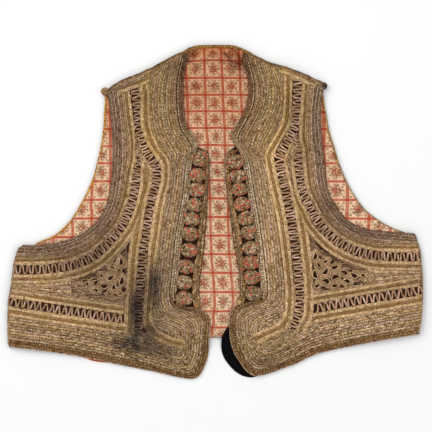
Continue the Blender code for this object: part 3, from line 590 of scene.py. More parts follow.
def dyed(colour, points, soil=1.0):
    """Thread colour at each point: the dye with its fading, tarnish and stains."""
    x, y = on_paper(points)
    x = np.abs(x)
    gilt = ramp(np.abs(y - GILT_MIDDLE), *GILT_AWAY) * np.where(y > 0, ramp(x, *GILT_ACROSS), 1)
    fade = 0.88 + 0.28 * blotch(points, 24, 11)
    out = np.asarray(colour, float) * (fade * strength(points))[:, None] * (1 - gilt[:, None] * GILT_LOSS)
    worn = np.clip(covered(TARNISH, points) * soil, 0, MOST_TARNISH)[:, None] * TARNISH_COVER
    tarnish = DYE["tarnish"] * (1 + ramp(x, *GREY_ACROSS)[:, None] * GREY_GAIN)
    out = out * (1 - worn) + tarnish * worn
    dark = np.clip(covered(STAINS, points) * (0.7 + 0.6 * blotch(points, 7, 3)), 0, MOST_STAIN)[:, None]
    return out * (1 - dark) + DYE["stain"] * dark


def wear(points):
    """How unevenly the couched cords have worn."""
    x, y = on_paper(points)
    low = ramp(LEFT_EARLIER * (x > 60) - y, *LOW_FROM) * (np.abs(x) < LOW_ACROSS)
    return (WEAR + LOW_WEAR * low)[:, None]


def streaks(rows, across, seed, depth):
    """Uneven strength of one cord's threads: soft streaks along it, with a few bright and worn spots."""
    rng = np.random.default_rng(seed)
    long = 8
    soft = np.cumsum(rng.normal(size=(rows + long, across)), axis=0)
    fine = rng.normal(size=(rows + 1, across))
    tone = 1 + depth * (soft[long:] - soft[:-long]) / 2.83 + depth * 0.75 * (fine[1:] + fine[:-1])
    spot = rng.random((rows + 1, across))
    spot = np.where(spot[1:] < 0.5, np.minimum(spot[1:], spot[:-1]), np.maximum(spot[1:], spot[:-1]))
    tone = tone * np.where(spot > 1 - depth * 0.2, 1.5, 1) * np.where(spot < depth * 0.24, 0.5, 1)
    return np.clip(tone, 0.3, 2.1)


def aged(dye, tone):
    """Thread that turns creamy where it is rubbed bright and brown where it is worn dark."""
    return dye * tone * np.hstack((np.ones_like(tone), tone ** 0.2, tone ** 0.75))


def worn_dyes(dye, rows, across, uneven, seed):
    """One dye, or one for each row of a net of corners, as a dye for each corner, unevenly worn."""
    dye = np.repeat(np.broadcast_to(np.asarray(dye, float), (rows, 3)), across, axis=0)
    if np.any(uneven):
        dye = aged(dye, streaks(rows, across, seed, uneven).reshape(-1, 1))
    return dye


# ---------------------------------------------------------------- sewing meshes

def net_faces(rows, across):
    """Faces of an open net of corners."""
    return [(i * across + k, (i + 1) * across + k, (i + 1) * across + k + 1, i * across + k + 1)
            for i in range(rows - 1) for k in range(across - 1)]


def ball_faces(rows, sides):
    """Faces of rings of corners, one above the other, closed at the bottom and the top."""
    walls = [(r + k, r + (k + 1) % sides, r + sides + (k + 1) % sides, r + sides + k)
             for r in range(0, (rows - 1) * sides, sides) for k in range(sides)]
    ring = tuple(range(sides))
    return walls + [ring[::-1], tuple((rows - 1) * sides + k for k in ring)]


class Work:
    """Collects the corners, faces and dyes of one sewn piece.

    Every corner carries two numbers for the thread finish: how many turns of the twist lie before
    it, and how high it stands between the gap (0) and the crown (1) of its cord; the finish paints
    shade where the second is low.
    """

    # Turns by which the twist leans from one edge of a round cord to the other
    LEAN = 0.6
    # Height angle of a bead's lowest ring of corners, and from there to its highest
    BEAD_LOW, BEAD_SPAN = -40, 125
    # Corners across a braid, the relief of its threads, and how far its edges are turned down
    BRAID_ACROSS, RELIEF, SINK = 5, 0.08, 0.1

    def __init__(self):
        self.points, self.faces, self.maps, self.dyes, self.count = [], [], [], [], 0

    def add(self, points, faces, maps, dyes):
        """Takes in more corners, with faces that count from the first of them."""
        self.points.append(np.asarray(points, float))
        self.faces += [tuple(int(i) + self.count for i in f) for f in faces]
        self.maps.append(np.asarray(maps, float))
        self.dyes.append(np.asarray(dyes, float))
        self.count += len(points)

    def cord(self, line, width, dye, rise=1.0, sides=5, low=-25, twist=0.5, relief=0.0, start=0.0,
             uneven=0.0, seed=0):
        """A cord lying on cloth: line holds x, y, z of its middle; its open underside is hidden."""
        line = np.asarray(line, float)
        n = len(line)
        if n < 2:
            return
        way = np.gradient(line, axis=0)
        way /= np.maximum(np.linalg.norm(way, axis=1), 1e-9)[:, None]
        side = np.stack((way[:, 1], -way[:, 0], np.zeros(n)), axis=1)
        side /= np.maximum(np.linalg.norm(side, axis=1), 1e-9)[:, None]
        up = np.cross(side, way)
        a = np.radians(np.linspace(low, 180 - low, sides))
        turns = start + run_of(line)[:, None] * twist + np.linspace(0, 1, sides)[None] * self.LEAN
        swell = 1 + relief * np.sin(2 * math.pi * turns)
        w = np.broadcast_to(np.asarray(width, float).reshape(-1, 1, 1), (n, 1, 1)) / 2 * swell[..., None]
        ring = (np.cos(a)[None, :, None] * side[:, None] * w
                + np.sin(a)[None, :, None] * up[:, None] * w * rise)
        crown = np.broadcast_to(np.clip(np.sin(a), 0, 1)[None], turns.shape)
        maps = np.stack((turns.ravel(), crown.ravel()), axis=1)
        self.add((line[:, None] + ring).reshape(-1, 3), net_faces(n, sides), maps,
                 worn_dyes(dye, n, sides, uneven, seed))

    def plait(self, outer, inner, rise, dye, twist, lean, start, uneven, seed):
        """A crowned braid between two lines of x, y, z, with turned-down edges."""
        n = len(outer)
        if n < 2:
            return
        across = self.BRAID_ACROSS
        v = np.linspace(0, 1, across)
        crown = np.abs(np.sin(math.pi * v)) ** 0.7
        points = outer[:, None] * (1 - v)[None, :, None] + inner[:, None] * v[None, :, None]
        turns = start + run_of((outer + inner) / 2)[:, None] * twist + v[None] * lean
        wide = np.linalg.norm(outer - inner, axis=1)
        height = np.minimum(rise, 0.1 + wide * 0.42)[:, None] * crown[None]
        height = height + self.RELIEF * np.sin(2 * math.pi * turns) * crown[None]
        height[:, 0] = height[:, -1] = -self.SINK
        points[:, :, 2] += height
        points = points.reshape(-1, 3)
        faces = net_faces(n, across)
        middle = n // 2 * across - across if n > 2 else 0
        a, b, c = points[middle + 1], points[middle + 1 + across], points[middle + 2]
        if np.cross(b - a, c - a)[2] < 0:
            faces = [tuple(reversed(f)) for f in faces]
        maps = np.stack((turns.ravel(), np.broadcast_to(crown[None], turns.shape).ravel()), axis=1)
        self.add(points, faces, maps, worn_dyes(dye, n, across, uneven, seed))

    def bead(self, centre, radius, dye, tall=0.7, sides=7, rows=4):
        """A small thread knot, closed."""
        points, maps = [], []
        for r in range(rows):
            a = math.radians(self.BEAD_LOW + self.BEAD_SPAN * r / (rows - 1))
            for k in range(sides):
                b = 2 * math.pi * (k + 0.5 * (r % 2)) / sides
                points.append((centre[0] + radius * math.cos(a) * math.cos(b),
                               centre[1] + radius * math.cos(a) * math.sin(b),
                               centre[2] + radius * tall * math.sin(a)))
                maps.append((0.25, max(0.0, 0.3 + 0.7 * math.sin(a))))
        self.add(points, ball_faces(rows, sides), maps, [dye] * len(points))

    def sew(self, name, kind, slot, node=None):
        """Makes the object, in place of a node's plain solid if one is named."""
        mesh = bpy.data.meshes.new(name)
        mesh.from_pydata((np.vstack(self.points) * MM).tolist(), [], self.faces)
        dress(mesh, np.vstack(self.maps), np.vstack(self.dyes), finish_of(kind))
        return hand_over(placed(name, mesh), node)


def placed(name, data):
    """A new object of the scene that holds the mesh, lamp or camera."""
    item = bpy.data.objects.new(name, data)
    bpy.context.scene.collection.objects.link(item)
    return item


def hand_over(item, node=None):
    """Says what carries the piece and hides the plain solid it stands for, if one is named."""
    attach(item, "root")
    if node:
        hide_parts(node)
    return item


def dress(mesh, maps, dyes, material):
    """Gives a mesh its finish map, its dyes and its material."""
    for layer in list(mesh.uv_layers):
        mesh.uv_layers.remove(layer)
    layer = mesh.uv_layers.new(name="Run")
    index = np.zeros(len(mesh.loops), np.int32)
    mesh.loops.foreach_get("vertex_index", index)
    layer.data.foreach_set("uv", maps[index].astype(np.float32).ravel())
    colour = mesh.color_attributes.new("Dye", "FLOAT_COLOR", "POINT")
    colour.data.foreach_set("color", np.hstack((dyes, np.ones((len(dyes), 1)))).astype(np.float32).ravel())
    mesh.polygons.foreach_set("use_smooth", np.ones(len(mesh.polygons), bool))
    mesh.materials.clear()
    mesh.materials.append(material)
    mesh.update()


# ---------------------------------------------------------------- materials

class Recipe:
    """Builds a shader from small steps."""

    def __init__(self, name):
        self.material = bpy.data.materials.new(name)
        self.material.use_nodes = True
        self.tree = self.material.node_tree
        self.shader = self.tree.nodes["Principled BSDF"]

    def node(self, kind, **settings):
        """A new node with these settings."""
        n = self.tree.nodes.new(kind)
        for key, value in settings.items():
            setattr(n, key, value)
        return n

    def put(self, value, socket):
        """Links an output, or sets a constant."""
        if isinstance(value, bpy.types.NodeSocket):
            self.tree.links.new(value, socket)
        else:
            socket.default_value = value

    def place(self):
        """Where a point lies on its object."""
        return self.node("ShaderNodeTexCoord").outputs["Object"]

    def run(self):
        """The two numbers of the finish map."""
        return self.parts(self.node("ShaderNodeUVMap", uv_map="Run").outputs[0])[:2]

    def dye(self):
        """The colour that the sewing gave the point."""
        return self.node("ShaderNodeAttribute", attribute_name="Dye").outputs["Color"]

    def parts(self, value, kind="ShaderNodeSeparateXYZ"):
        """The three parts of a vector or a colour."""
        n = self.node(kind)
        self.put(value, n.inputs[0])
        return n.outputs[:3]

    def maths(self, operation, a, b=0.0, c=0.0, clamp=False):
        """The outcome of one operation."""
        n = self.node("ShaderNodeMath", operation=operation, use_clamp=clamp)
        for value, socket in zip((a, b, c), n.inputs):
            self.put(value, socket)
        return n.outputs[0]

    def times(self, a, b):
        """a times b."""
        return self.maths("MULTIPLY", a, b)

    def wave(self, angle, shape="SINE"):
        """A wave of the angle, from 0 to 1."""
        return self.maths("MULTIPLY_ADD", self.maths(shape, angle), 0.5, 0.5)

    def astray(self, value, noise, width):
        """The value, led astray by a noise to half the width on either side."""
        return self.maths("ADD", value, self.maths("MULTIPLY_ADD", noise, width, -width / 2))

    def distance(self, a, b):
        """How far the place a, b lies from 0, 0."""
        return self.maths("SQRT", self.maths("ADD", self.times(a, a), self.times(b, b)))

    def mix(self, amount, a, b, blend="MIX"):
        """Colour b over colour a by so much."""
        n = self.node("ShaderNodeMix", data_type="RGBA", blend_type=blend, clamp_factor=True)
        self.put(amount, n.inputs[0])
        for value, socket in ((a, n.inputs[6]), (b, n.inputs[7])):
            self.put((*value, 1) if hasattr(value, "__len__") and len(value) == 3 else value, socket)
        return n.outputs[2]

    def tinted(self, colour, tint):
        """The colour times the tint."""
        return self.mix(1.0, colour, tint, "MULTIPLY")

    def shaded(self, amount, colour, tint):
        """The colour, tinted by so much."""
        return self.mix(amount, colour, self.tinted(colour, tint))

    def noise(self, where, scale, detail=2.0, rough=0.5, output=0):
        """A noise with so many waves to the metre, or with output 1 three noises at once."""
        n = self.node("ShaderNodeTexNoise")
        self.put(where, n.inputs["Vector"])
        n.inputs["Scale"].default_value = scale
        n.inputs["Detail"].default_value = detail
        n.inputs["Roughness"].default_value = rough
        return n.outputs[output]

    def step(self, value, low, high):
        """0 at low and 1 at high, rounded at both ends; low may be the larger."""
        n = self.node("ShaderNodeMapRange", interpolation_type="SMOOTHSTEP")
        self.put(value, n.inputs[0])
        n.inputs[1].default_value = low
        n.inputs[2].default_value = high
        return n.outputs[0]

    def bump(self, height, depth, amount=1.0, under=None):
        """Relief of so many metres, over another relief if one is given."""
        n = self.node("ShaderNodeBump")
        n.inputs["Strength"].default_value = amount
        n.inputs["Distance"].default_value = depth
        self.put(height, n.inputs["Height"])
        if under is not None:
            self.put(under, n.inputs["Normal"])
        return n.outputs[0]

    def finish(self, colour, rough, bump=None, sheen=0.0, metal=0.0, specular=0.5):
        """Sets the surface and hands over the material."""
        self.put(colour, self.shader.inputs["Base Color"])
        for name, value in (("Roughness", rough), ("Metallic", metal), ("Sheen Weight", sheen),
                            ("Specular IOR Level", specular)):
            self.shader.inputs[name].default_value = value
        if bump is not None:
            self.put(bump, self.shader.inputs["Normal"])
        return self.material


def scaled(colour, factors):
    """A colour with each of its parts scaled, none past 1."""
    return tuple(min(1, part * factor) for part, factor in zip(colour, factors))


# Tints of thread: all of it, painted shade in the gap beside a cord, painted shade in the hollows of its
# twist, worn dark specks, painted glints with the cream that they turn to, and two slight leans of hue
THREAD_TINT, GAP_SHADE_TINT, HOLLOW_SHADE_TINT = (1.05, 1.05, 1.08), (0.28, 0.165, 0.06), (0.36, 0.26, 0.13)
SPECK_TINT, GLINT_TINT, GLINT_CREAM = (0.4, 0.28, 0.14), (2.15, 2.25, 2.7), (0.68, 0.6, 0.5)
ROSE_TINT, GREEN_TINT = (1.02, 0.86, 0.92), (0.95, 0.97, 0.74)


def thread_finish(name, gap, hollow_shade, speck_and_glint, grain, depth, metal):
    """Thread: painted shade in the gaps and the hollows of its twist, worn dark specks and painted glints."""
    r = Recipe(name)
    turns, crown = r.run()
    place = r.place()
    fine = r.noise(place, grain, 2, 0.7)
    broad = r.noise(place, grain * 0.45, 2, 0.6)
    hue = r.noise(place, 70, 2, 0.6)
    wave = r.wave(r.times(r.maths("ADD", turns, r.times(broad, 1.6)), 2 * math.pi))
    # painted shade in the gap beside each cord, where it stands low
    beside = r.maths("SUBTRACT", 1.0, r.step(crown, 0.0, 0.75))
    # painted shade in the hollows of the twist
    hollow_shade_mask = r.maths("SUBTRACT", 1.0, r.step(wave, 0.0, 0.8))
    # painted glints: cream highlights on the crests of the twist
    light = r.times(r.step(r.maths("MULTIPLY_ADD", wave, 0.12, fine), 0.6, 0.72), speck_and_glint)
    colour = r.tinted(r.dye(), THREAD_TINT)
    colour = r.shaded(r.times(beside, gap), colour, GAP_SHADE_TINT)
    colour = r.shaded(r.times(hollow_shade_mask, hollow_shade), colour, HOLLOW_SHADE_TINT)
    colour = r.shaded(r.times(r.step(broad, 0.52, 0.68), speck_and_glint), colour, SPECK_TINT)
    colour = r.mix(light, colour, r.mix(0.35, r.tinted(colour, GLINT_TINT), GLINT_CREAM))
    for full, tint in ((0.66, ROSE_TINT), (0.36, GREEN_TINT)):
        colour = r.shaded(r.times(r.step(hue, 0.5, full), 0.4), colour, tint)
    bump = r.bump(r.maths("ADD", wave, r.times(fine, 1.2)), depth)
    return r.finish(colour, 0.6, bump, metal=metal, specular=0.05)


# Colours of knotted thread; where there are two, each knot has its own between them
MOSS_KNOTS = (0.22, 0.135, 0.065), (0.46, 0.31, 0.175)
RED_KNOTS = (0.52, 0.085, 0.045), (0.76, 0.18, 0.12)
PALE_KNOT, DARK_KNOT, GOLDEN_TINT = (0.64, 0.49, 0.34), (0.09, 0.057, 0.028), (1.12, 1.0, 0.78)
KNOT_THREAD_TINTS = (0.6, 0.58, 0.56), (1.46, 1.42, 1.3)
# Tint of the painted shade at the edges of each knot, where it meets the next
KNOT_GAP_SHADE_TINT = (0.3, 0.25, 0.2)
KNOTS_SCALE = 480


def knotted_finish():
    """Close thread knots, moss and tan; red where the dye's red is full, golden where its green is high;
    painted shade at the edges of each knot.
    """
    r = Recipe("knotted thread")
    place = r.place()
    knots = r.node("ShaderNodeTexVoronoi", feature="F1")
    r.put(place, knots.inputs["Vector"])
    knots.inputs["Scale"].default_value = KNOTS_SCALE
    away = knots.outputs["Distance"]
    chance, shade, odd = r.parts(knots.outputs["Color"], "ShaderNodeSeparateColor")
    red_share, gold_share, _ = r.parts(r.dye(), "ShaderNodeSeparateColor")
    few = r.step(r.maths("MULTIPLY_ADD", red_share, 0.2, r.times(chance, -1.0)), 0.0, 0.04)
    red = r.maths("MAXIMUM", few, r.step(red_share, 0.8, 0.95))
    colour = r.mix(shade, *MOSS_KNOTS)
    colour = r.mix(r.step(odd, 0.84, 0.88), colour, PALE_KNOT)
    colour = r.mix(r.step(odd, 0.14, 0.1), colour, DARK_KNOT)
    colour = r.shaded(r.step(gold_share, 0.5, 0.8), colour, GOLDEN_TINT)
    colour = r.mix(r.times(red, 0.92), colour, r.mix(shade, *RED_KNOTS))
    colour = r.tinted(colour, r.mix(r.step(r.noise(place, 900, 2, 0.7), 0.34, 0.66), *KNOT_THREAD_TINTS))
    # painted shade between the knots
    colour = r.shaded(r.times(r.step(away, 0.4, 0.75), 0.55), colour, KNOT_GAP_SHADE_TINT)
    return r.finish(colour, 0.7, r.bump(r.maths("SUBTRACT", 1.0, away), 0.0012), specular=0.1)


def felt_finish():
    """Dark felted wool, its nap from darker to lighter, with rusty patches."""
    wool = bpy.context.scene.vest_colours.wool
    rust = (0.06, 0.024, 0.012)
    r = Recipe("felted wool")
    place = r.place()
    nap = r.noise(place, 700, 3, 0.65)
    patch = r.step(r.noise(place, 60, 3, 0.5), 0.45, 0.7)
    colour = r.mix(r.step(nap, 0.35, 0.75), scaled(wool, (0.6,) * 3), scaled(wool, (1.9,) * 3))
    colour = r.mix(r.times(patch, 0.45), colour, rust)
    return r.finish(colour, 0.95, r.bump(nap, 0.0006), sheen=0.04, specular=0.08)


# Lines of the check as half the square's width away from its middle, amount and tint of the red
CHECK_LINES = ((0.4, 0.44, 0.9, (0.95, 1.15, 1.0)), (0.415, 0.45, 0.95, (1, 1, 1)))
# The sprig in each square: rings of leaves as number, radius, turn and amount, then its other marks
LEAF_RINGS, CORNER_SPECK = ((8, 0.19, 0.0, 0.85), (10, 0.31, 0.4, 0.75)), 0.34
HEAD_INKS = (0.11, 0.045, 0.014), (0.5, 0.12, 0.06)
INNER_INKS = (0.2, 0.1, 0.045), (0.36, 0.075, 0.045)
STEM_INK = (0.3, 0.14, 0.07)
AGED_COTTON_TINT, SOILED_COTTON = (0.94, 0.84, 0.76), (0.58, 0.32, 0.18)


def sprig(r, place, u, v, colour, fade):
    """Prints a sprig in the square: a mottled head, two rings of soft leaves, corner specks and a stem."""
    olive = bpy.context.scene.vest_colours.print_olive
    frays = r.parts(r.noise(place, 380, output=1))
    frayed_u, frayed_v = r.astray(u, frays[0], 0.34), r.astray(v, frays[1], 0.34)
    radius, angle = r.distance(frayed_u, frayed_v), r.maths("ARCTAN2", frayed_v, frayed_u)
    blots = r.noise(place, 300, 2, 0.7)
    head = r.step(r.maths("MULTIPLY_ADD", blots, 0.22, radius), 0.36, 0.25)
    cover = r.maths("MULTIPLY_ADD", r.step(r.noise(place, 460, 2, 0.8), 0.6, 0.48), 0.75, 0.25)
    ink = r.mix(r.step(r.noise(place, 640, 2, 0.8), 0.42, 0.52), *HEAD_INKS)
    colour = r.mix(r.times(head, cover), colour, ink)
    inner_ink = r.mix(r.step(fade, 0.45, 0.55), *INNER_INKS)
    for (many, at, turn, amount), ink in zip(LEAF_RINGS, (inner_ink, olive)):
        leaf = r.wave(r.maths("MULTIPLY_ADD", angle, many, turn), "COSINE")
        band = r.step(r.maths("ABSOLUTE", r.maths("SUBTRACT", radius, at)), 0.085, 0.03)
        mark = r.step(r.maths("MULTIPLY_ADD", leaf, 0.5, r.times(blots, 0.9)), 0.58, 0.76)
        colour = r.mix(r.times(r.times(band, mark), amount), colour, ink)
    across, along = r.maths("ABSOLUTE", u), r.maths("ABSOLUTE", v)
    corner = r.distance(r.maths("SUBTRACT", across, CORNER_SPECK), r.maths("SUBTRACT", along, CORNER_SPECK))
    colour = r.mix(r.times(r.step(corner, 0.09, 0.03), 0.7), colour, olive)
    stem = r.times(r.step(across, 0.035, 0.015), r.step(along, 0.42, 0.38))
    return r.mix(r.times(stem, 0.75), colour, STEM_INK)


def printed_cotton():
    """Block-printed cotton: a red check with a sprig in each square, over a ground with age."""
    c = bpy.context.scene.vest_colours
    r = Recipe("printed cotton")
    place = r.place()
    wobble = r.noise(place, 60, 2, 0.5)
    fade = r.noise(place, 45, 3, 0.6)
    u, v = (r.maths("SUBTRACT", r.maths("FRACT", r.astray(squares, wobble, width)), 0.5)
            for squares, width in zip(r.run(), (0.05, -0.04)))
    colour = r.mix(r.step(fade, 0.3, 0.75), c.cotton, scaled(c.cotton, AGED_COTTON_TINT))
    soil = r.step(r.noise(place, 420, 2, 0.6), 0.46, 0.72)
    colour = r.mix(r.times(soil, 0.45), colour, SOILED_COTTON)
    colour = sprig(r, place, u, v, colour, fade)
    worn = r.maths("MULTIPLY_ADD", r.noise(place, 120, 3, 0.6), 0.7, 0.55, clamp=True)
    for way, (start, full, amount, tint) in zip((u, v), CHECK_LINES):
        line = r.times(r.step(r.maths("ABSOLUTE", way), start, full), worn)
        colour = r.mix(r.times(line, amount), colour, scaled(c.print_red, tint))
    colour = r.tinted(colour, r.dye())
    folds = r.bump(r.noise(place, 38, 3, 0.5), 0.004, 0.5)
    weave = r.noise(place, 1500, 1, 0.5)
    return r.finish(colour, 0.85, r.bump(weave, 0.0004, 0.7, folds), specular=0.04)


def tape_finish():
    """Black ribbed tape, its ribs a little lighter: painted highlights on their crests."""
    tape = bpy.context.scene.vest_colours.tape
    rib_highlight_tint, dust = (2.6, 2.2, 1.7), (0.008, 0.009, 0.012)
    r = Recipe("ribbed tape")
    rib = r.wave(r.times(r.run()[1], 40))
    grain = r.step(r.noise(r.place(), 600, 2, 0.6), 0.55, 0.75)
    # painted highlight along the crest of each rib
    colour = r.mix(r.times(rib, 0.6), tape, scaled(tape, rib_highlight_tint))
    colour = r.mix(r.times(grain, 0.4), colour, dust)
    return r.finish(colour, 0.9, r.bump(rib, 0.0006), specular=0.03)


# Finishes of thread: name, painted gap shade, painted hollow shade, worn specks and painted glints, grain,
# depth and metal
THREAD_FINISHES = {
    "cord": ("couched gilt cord", 0.7, 0.3, 0.58, 560, 0.0005, 0.1),
    "braid": ("flat gilt braid", 0.4, 0.16, 0.34, 560, 0.0004, 0.1),
    "chevron": ("chevron braid", 0.5, 0.74, 0.42, 560, 0.0006, 0.1),
    "ladder": ("ladder cord", 0.68, 0.2, 0.35, 600, 0.0003, 0),
    "wrap": ("wrapped thread", 0.8, 0.4, 0.5, 560, 0.0004, 0),
}
CLOTH_FINISHES = {"knots": knotted_finish, "felt": felt_finish, "cotton": printed_cotton, "tape": tape_finish}


@cache
def finish_of(kind):
    """The vest's materials, each made once."""
    return thread_finish(*THREAD_FINISHES[kind]) if kind in THREAD_FINISHES else CLOTH_FINISHES[kind]()


# ---------------------------------------------------------------- shells on the solids

# Lengths in metres: corners this close are joined, and edges longer than this are cut finer
JOINED, LONG_EDGE = 1e-6, 0.004


def corners_of(mesh, what):
    """Three numbers for each corner of a mesh: its place or its normal."""
    values = np.zeros(len(mesh.vertices) * 3)
    mesh.vertices.foreach_get(what, values)
    return values.reshape(-1, 3)


def shell_of(node, name, kind, cuts=1, ripple=None, dye=None, maps=None, settle=None):
    """A cloth shell of the node's own form, cut finer, with its creases raised."""
    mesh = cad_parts[node].data.copy()
    mesh.name = name
    mesh.materials.clear()
    work = bmesh.new()
    work.from_mesh(mesh)
    bmesh.ops.remove_doubles(work, verts=work.verts, dist=JOINED)
    if cuts:
        long_edges = [e for e in work.edges if e.calc_length() > LONG_EDGE]
        bmesh.ops.subdivide_edges(work, edges=long_edges, cuts=cuts, use_grid_fill=True)
    bmesh.ops.triangulate(work, faces=work.faces)
    bmesh.ops.recalc_face_normals(work, faces=work.faces)
    work.to_mesh(mesh)
    work.free()
    co = corners_of(mesh, "co") / MM
    if ripple is not None:
        faces_up = np.clip(corners_of(mesh, "normal")[:, 2] * 2 - 0.6, 0, 1)
        co[:, 2] += ripple(co) * faces_up
    if settle is not None:
        co = settle(co)
    mesh.vertices.foreach_set("co", (co * MM).ravel())
    dress(mesh, np.column_stack((co[:, 0] * 0.4, np.ones(len(co)))) if maps is None else maps(co),
          np.ones((len(co), 3)) if dye is None else dye(co), finish_of(kind))
    return hand_over(placed(name, mesh), node)


def declare(name):
    """Reads the width and height of a cloth sheet from its own size, and does nothing more with them."""
    item = bpy.data.objects[name]
    wide, tall = (float(x) for x in np.maximum(np.ptp(corners_of(item.data, "co")[:, :2], axis=0), 0.0101))


def check_maps(co):
    """Where each point lies in the printed check, in squares."""
    x, y = on_paper(co)
    lean = np.where(np.abs(x) < 90, 0.042 * (y - 100) - np.interp(y, (-150, -125), (-1.2, 2.5)), 0.0)
    across = np.interp(x + lean, CHECK_ACROSS, np.arange(len(CHECK_ACROSS)))
    arch = 1.6 * bell(y, 188, 10) * np.cos(x / 26.0) - 0.012 * np.abs(x)
    along = np.interp(y - arch, CHECK_ALONG, np.arange(len(CHECK_ALONG)))
    return np.stack((across, along), axis=1)


def creases(table, co):
    """How strongly each crease of a table (from x, y to x, y, width, strength) acts at the points."""
    points = np.column_stack(on_paper(co))
    for x0, y0, x1, y1, width, most in table:
        yield most * bell(distance_to(np.array(((x0, y0), (x1, y1)), float), points), 0, width)


def lining_ripple(co):
    """Soft creases of the lining, only where no front lies on it."""
    return sum(creases(LINING_CREASES, co)) * clear_of_fronts(co)


def clear_of_fronts(co):
    """1 in the open parts of the lining, 0 under a front or near its edge."""
    open_to = np.ones(len(co))
    near, ways = 5, 8
    for side in SIDES:
        cover = lay("front_" + side)
        reach = np.zeros(len(co), bool)
        for a in range(ways):
            turn = 2 * math.pi * a / ways
            step = np.array((math.cos(turn), math.sin(turn))) * near
            q = np.round((co[:, :2] + step - cover.low) / cover.pitch).astype(int)
            ok = (q >= 0).all(1) & (q[:, 0] < cover.real.shape[1]) & (q[:, 1] < cover.real.shape[0])
            reach[ok] |= cover.real[q[ok, 1], q[ok, 0]]
        open_to[reach] = 0
    return open_to


# Painted shade in deep folds of the lining, most of them at its neck, and painted shadow along the fronts'
# neck edges: from x, y to x, y, width, depth
LINING_SHADE_LINES = (
    (10, 199, 25, 181, 2, 0.75), (22, 202, 38, 184, 1.8, 0.75), (17, 204, 34, 190, 1.3, 0.7),
    (14, 194, 20, 183, 1.3, 0.5), (-34, 196, -22, 203, 3, 0.55), (-36, 190, -28, 198, 2, 0.5),
    (-36, 178, -30, 192, 4, 0.4), (8, 196, 24, 190, 2, 0.3), (-41, 182, -41, 100, 2.5, 0.45),
    (38, 172, 40, 110, 2.5, 0.35),
)
# What the painted shade, the brown and the orange each take from the red, green and blue of the lining
PAINTED_SHADE_LOSS, BROWN_LOSS, ORANGE_LOSS = (0.78, 0.9, 0.96), (0.3, 0.75, 1.0), (0.1, 0.6, 0.95)


def lining_shade(co):
    """The lining's colour: browner near seams and the neck, orange at one armhole; painted shade in folds, by
    the fronts and in the opening.
    """
    x, y = on_paper(co)
    seam_line = 188 - 0.006 * x * x
    # painted shade of the neck's folds, and painted shadow along the fronts' neck edges
    painted_shade = 1 - (1 - 0.9 * bell(x, 30, 8) * bell(y, 182, 9)) * np.prod(
        [1 - f for f in creases(LINING_SHADE_LINES, co)], axis=0)
    seam = 0.3 * bell(y, seam_line, 1.6) * (np.abs(x) < 45)
    brown = 0.3 * bell(y, 202, 10) + 0.12 * blotch(co[:, :2], 20, 5) + 0.33 * ramp(y, 60, 140)
    orange = 0.5 * (x < -120) * ramp(y, 95, 120)
    washed = np.where(x > 100, 0.16, 0.03) * (np.abs(x) > 100) * ramp(y, 60, 0)
    neck = 0.1 * ramp(y, 110, 140)
    # painted shade on the lining in the opening between the fronts
    opening_shade = 0.13 * bell(x, 0, 30) * bell(y, 52, 34)
    shade = np.outer((1 - neck) * (1 - opening_shade) * (1 - seam) * (1 + washed), np.ones(3))
    for amount, loss in ((painted_shade, PAINTED_SHADE_LOSS), (brown, BROWN_LOSS), (orange, ORANGE_LOSS)):
        shade *= 1 - np.outer(amount, loss)
    return shade


@cache
def front_outline(side):
    """The cut of one front: from the neck round the hem, up the side, the armhole and the shoulder."""
    edge = smooth_rows([r[:2] for r in FRONT_BAND[side]], 8)
    armhole = smooth_rows([r[:2] for r in ARMHOLE_BAND[side]], 6)
    return np.vstack((edge, SIDE_END[side][::-1], armhole[::-1], SHOULDER_LINE[side])) + SHIFT


def back_outline():
    """The visible edge of the back and its lining: down one armhole, round below and up the other."""
    right, left = (smooth_rows(ARMHOLE_EDGE[side], 4) for side in SIDES)
    below = [(-250, -60), (-250, -260), (250, -260), (250, -50)]
    above = [(136, 160), (60, 215), (-60, 215), (-140, 155)]
    return np.vstack((right, below, left[::-1], above)) + SHIFT


def drawn_in(co, loop, inset=0.6, reach=9.0):
    """Points outside the loop, yet near it, are moved onto it: the cloth is cut to its outline."""
    out = co.copy()
    off = np.flatnonzero(~holds(loop, co[:, :2]))
    if not len(off):
        return out
    d = np.roll(loop, -1, axis=0) - loop
    size = np.maximum((d * d).sum(1), 1e-9)
    for part in np.array_split(off, max(1, len(off) // 400)):
        q = co[part, None, :2]
        t = np.clip(((q - loop) * d).sum(2) / size, 0, 1)
        near = loop + d * t[..., None]
        gap = np.linalg.norm(near - q, axis=2)
        best = gap.argmin(1)
        rows = np.arange(len(part))
        goal, gap = near[rows, best], gap[rows, best]
        way = (goal - co[part, :2]) / np.maximum(gap, 1e-6)[:, None]
        ok = gap < reach
        out[part[ok], :2] = goal[ok] + way[ok] * inset
    return out


# Places where the back is pulled out to its corners: x, y, reach, pull across, pull along
BACK_PULLS = ((-139.5, 136, 6.5, 1.5, 8), (138, 122, 6, -1, 5), (-27, 201, 9, -5, -1), (29, 201, 9, 5, -1))


def back_settled(co):
    """The back and its lining, carried up to the knobs and the neck and drawn in to the armholes."""
    out = co.copy()
    x, y = on_paper(co)
    for at_x, at_y, reach, across, along in BACK_PULLS:
        pull = bell(x, at_x, reach) * bell(y, at_y, reach)
        out[:, 0] += across * pull
        out[:, 1] += along * pull
    out[:, 1] += 1.7 * ramp(y + 0.006 * x * x, 178, 184) * (np.abs(x) < 46)
    return drawn_in(out, back_outline())


def hem_settled(co):
    """The hem lining, turned under a little further."""
    return co + (0, 1.2, 0)


# The middle of the tape on its way from the hem of the lining to its lower end: y, x
TAPE_MIDDLE = ((-205, 34), (-190, 22), (-176, 11.5), (-172, 10), (-166, 10.5), (-160, 12.3), (-155, 14.5),
               (-150, 16.5), (-144, 19))


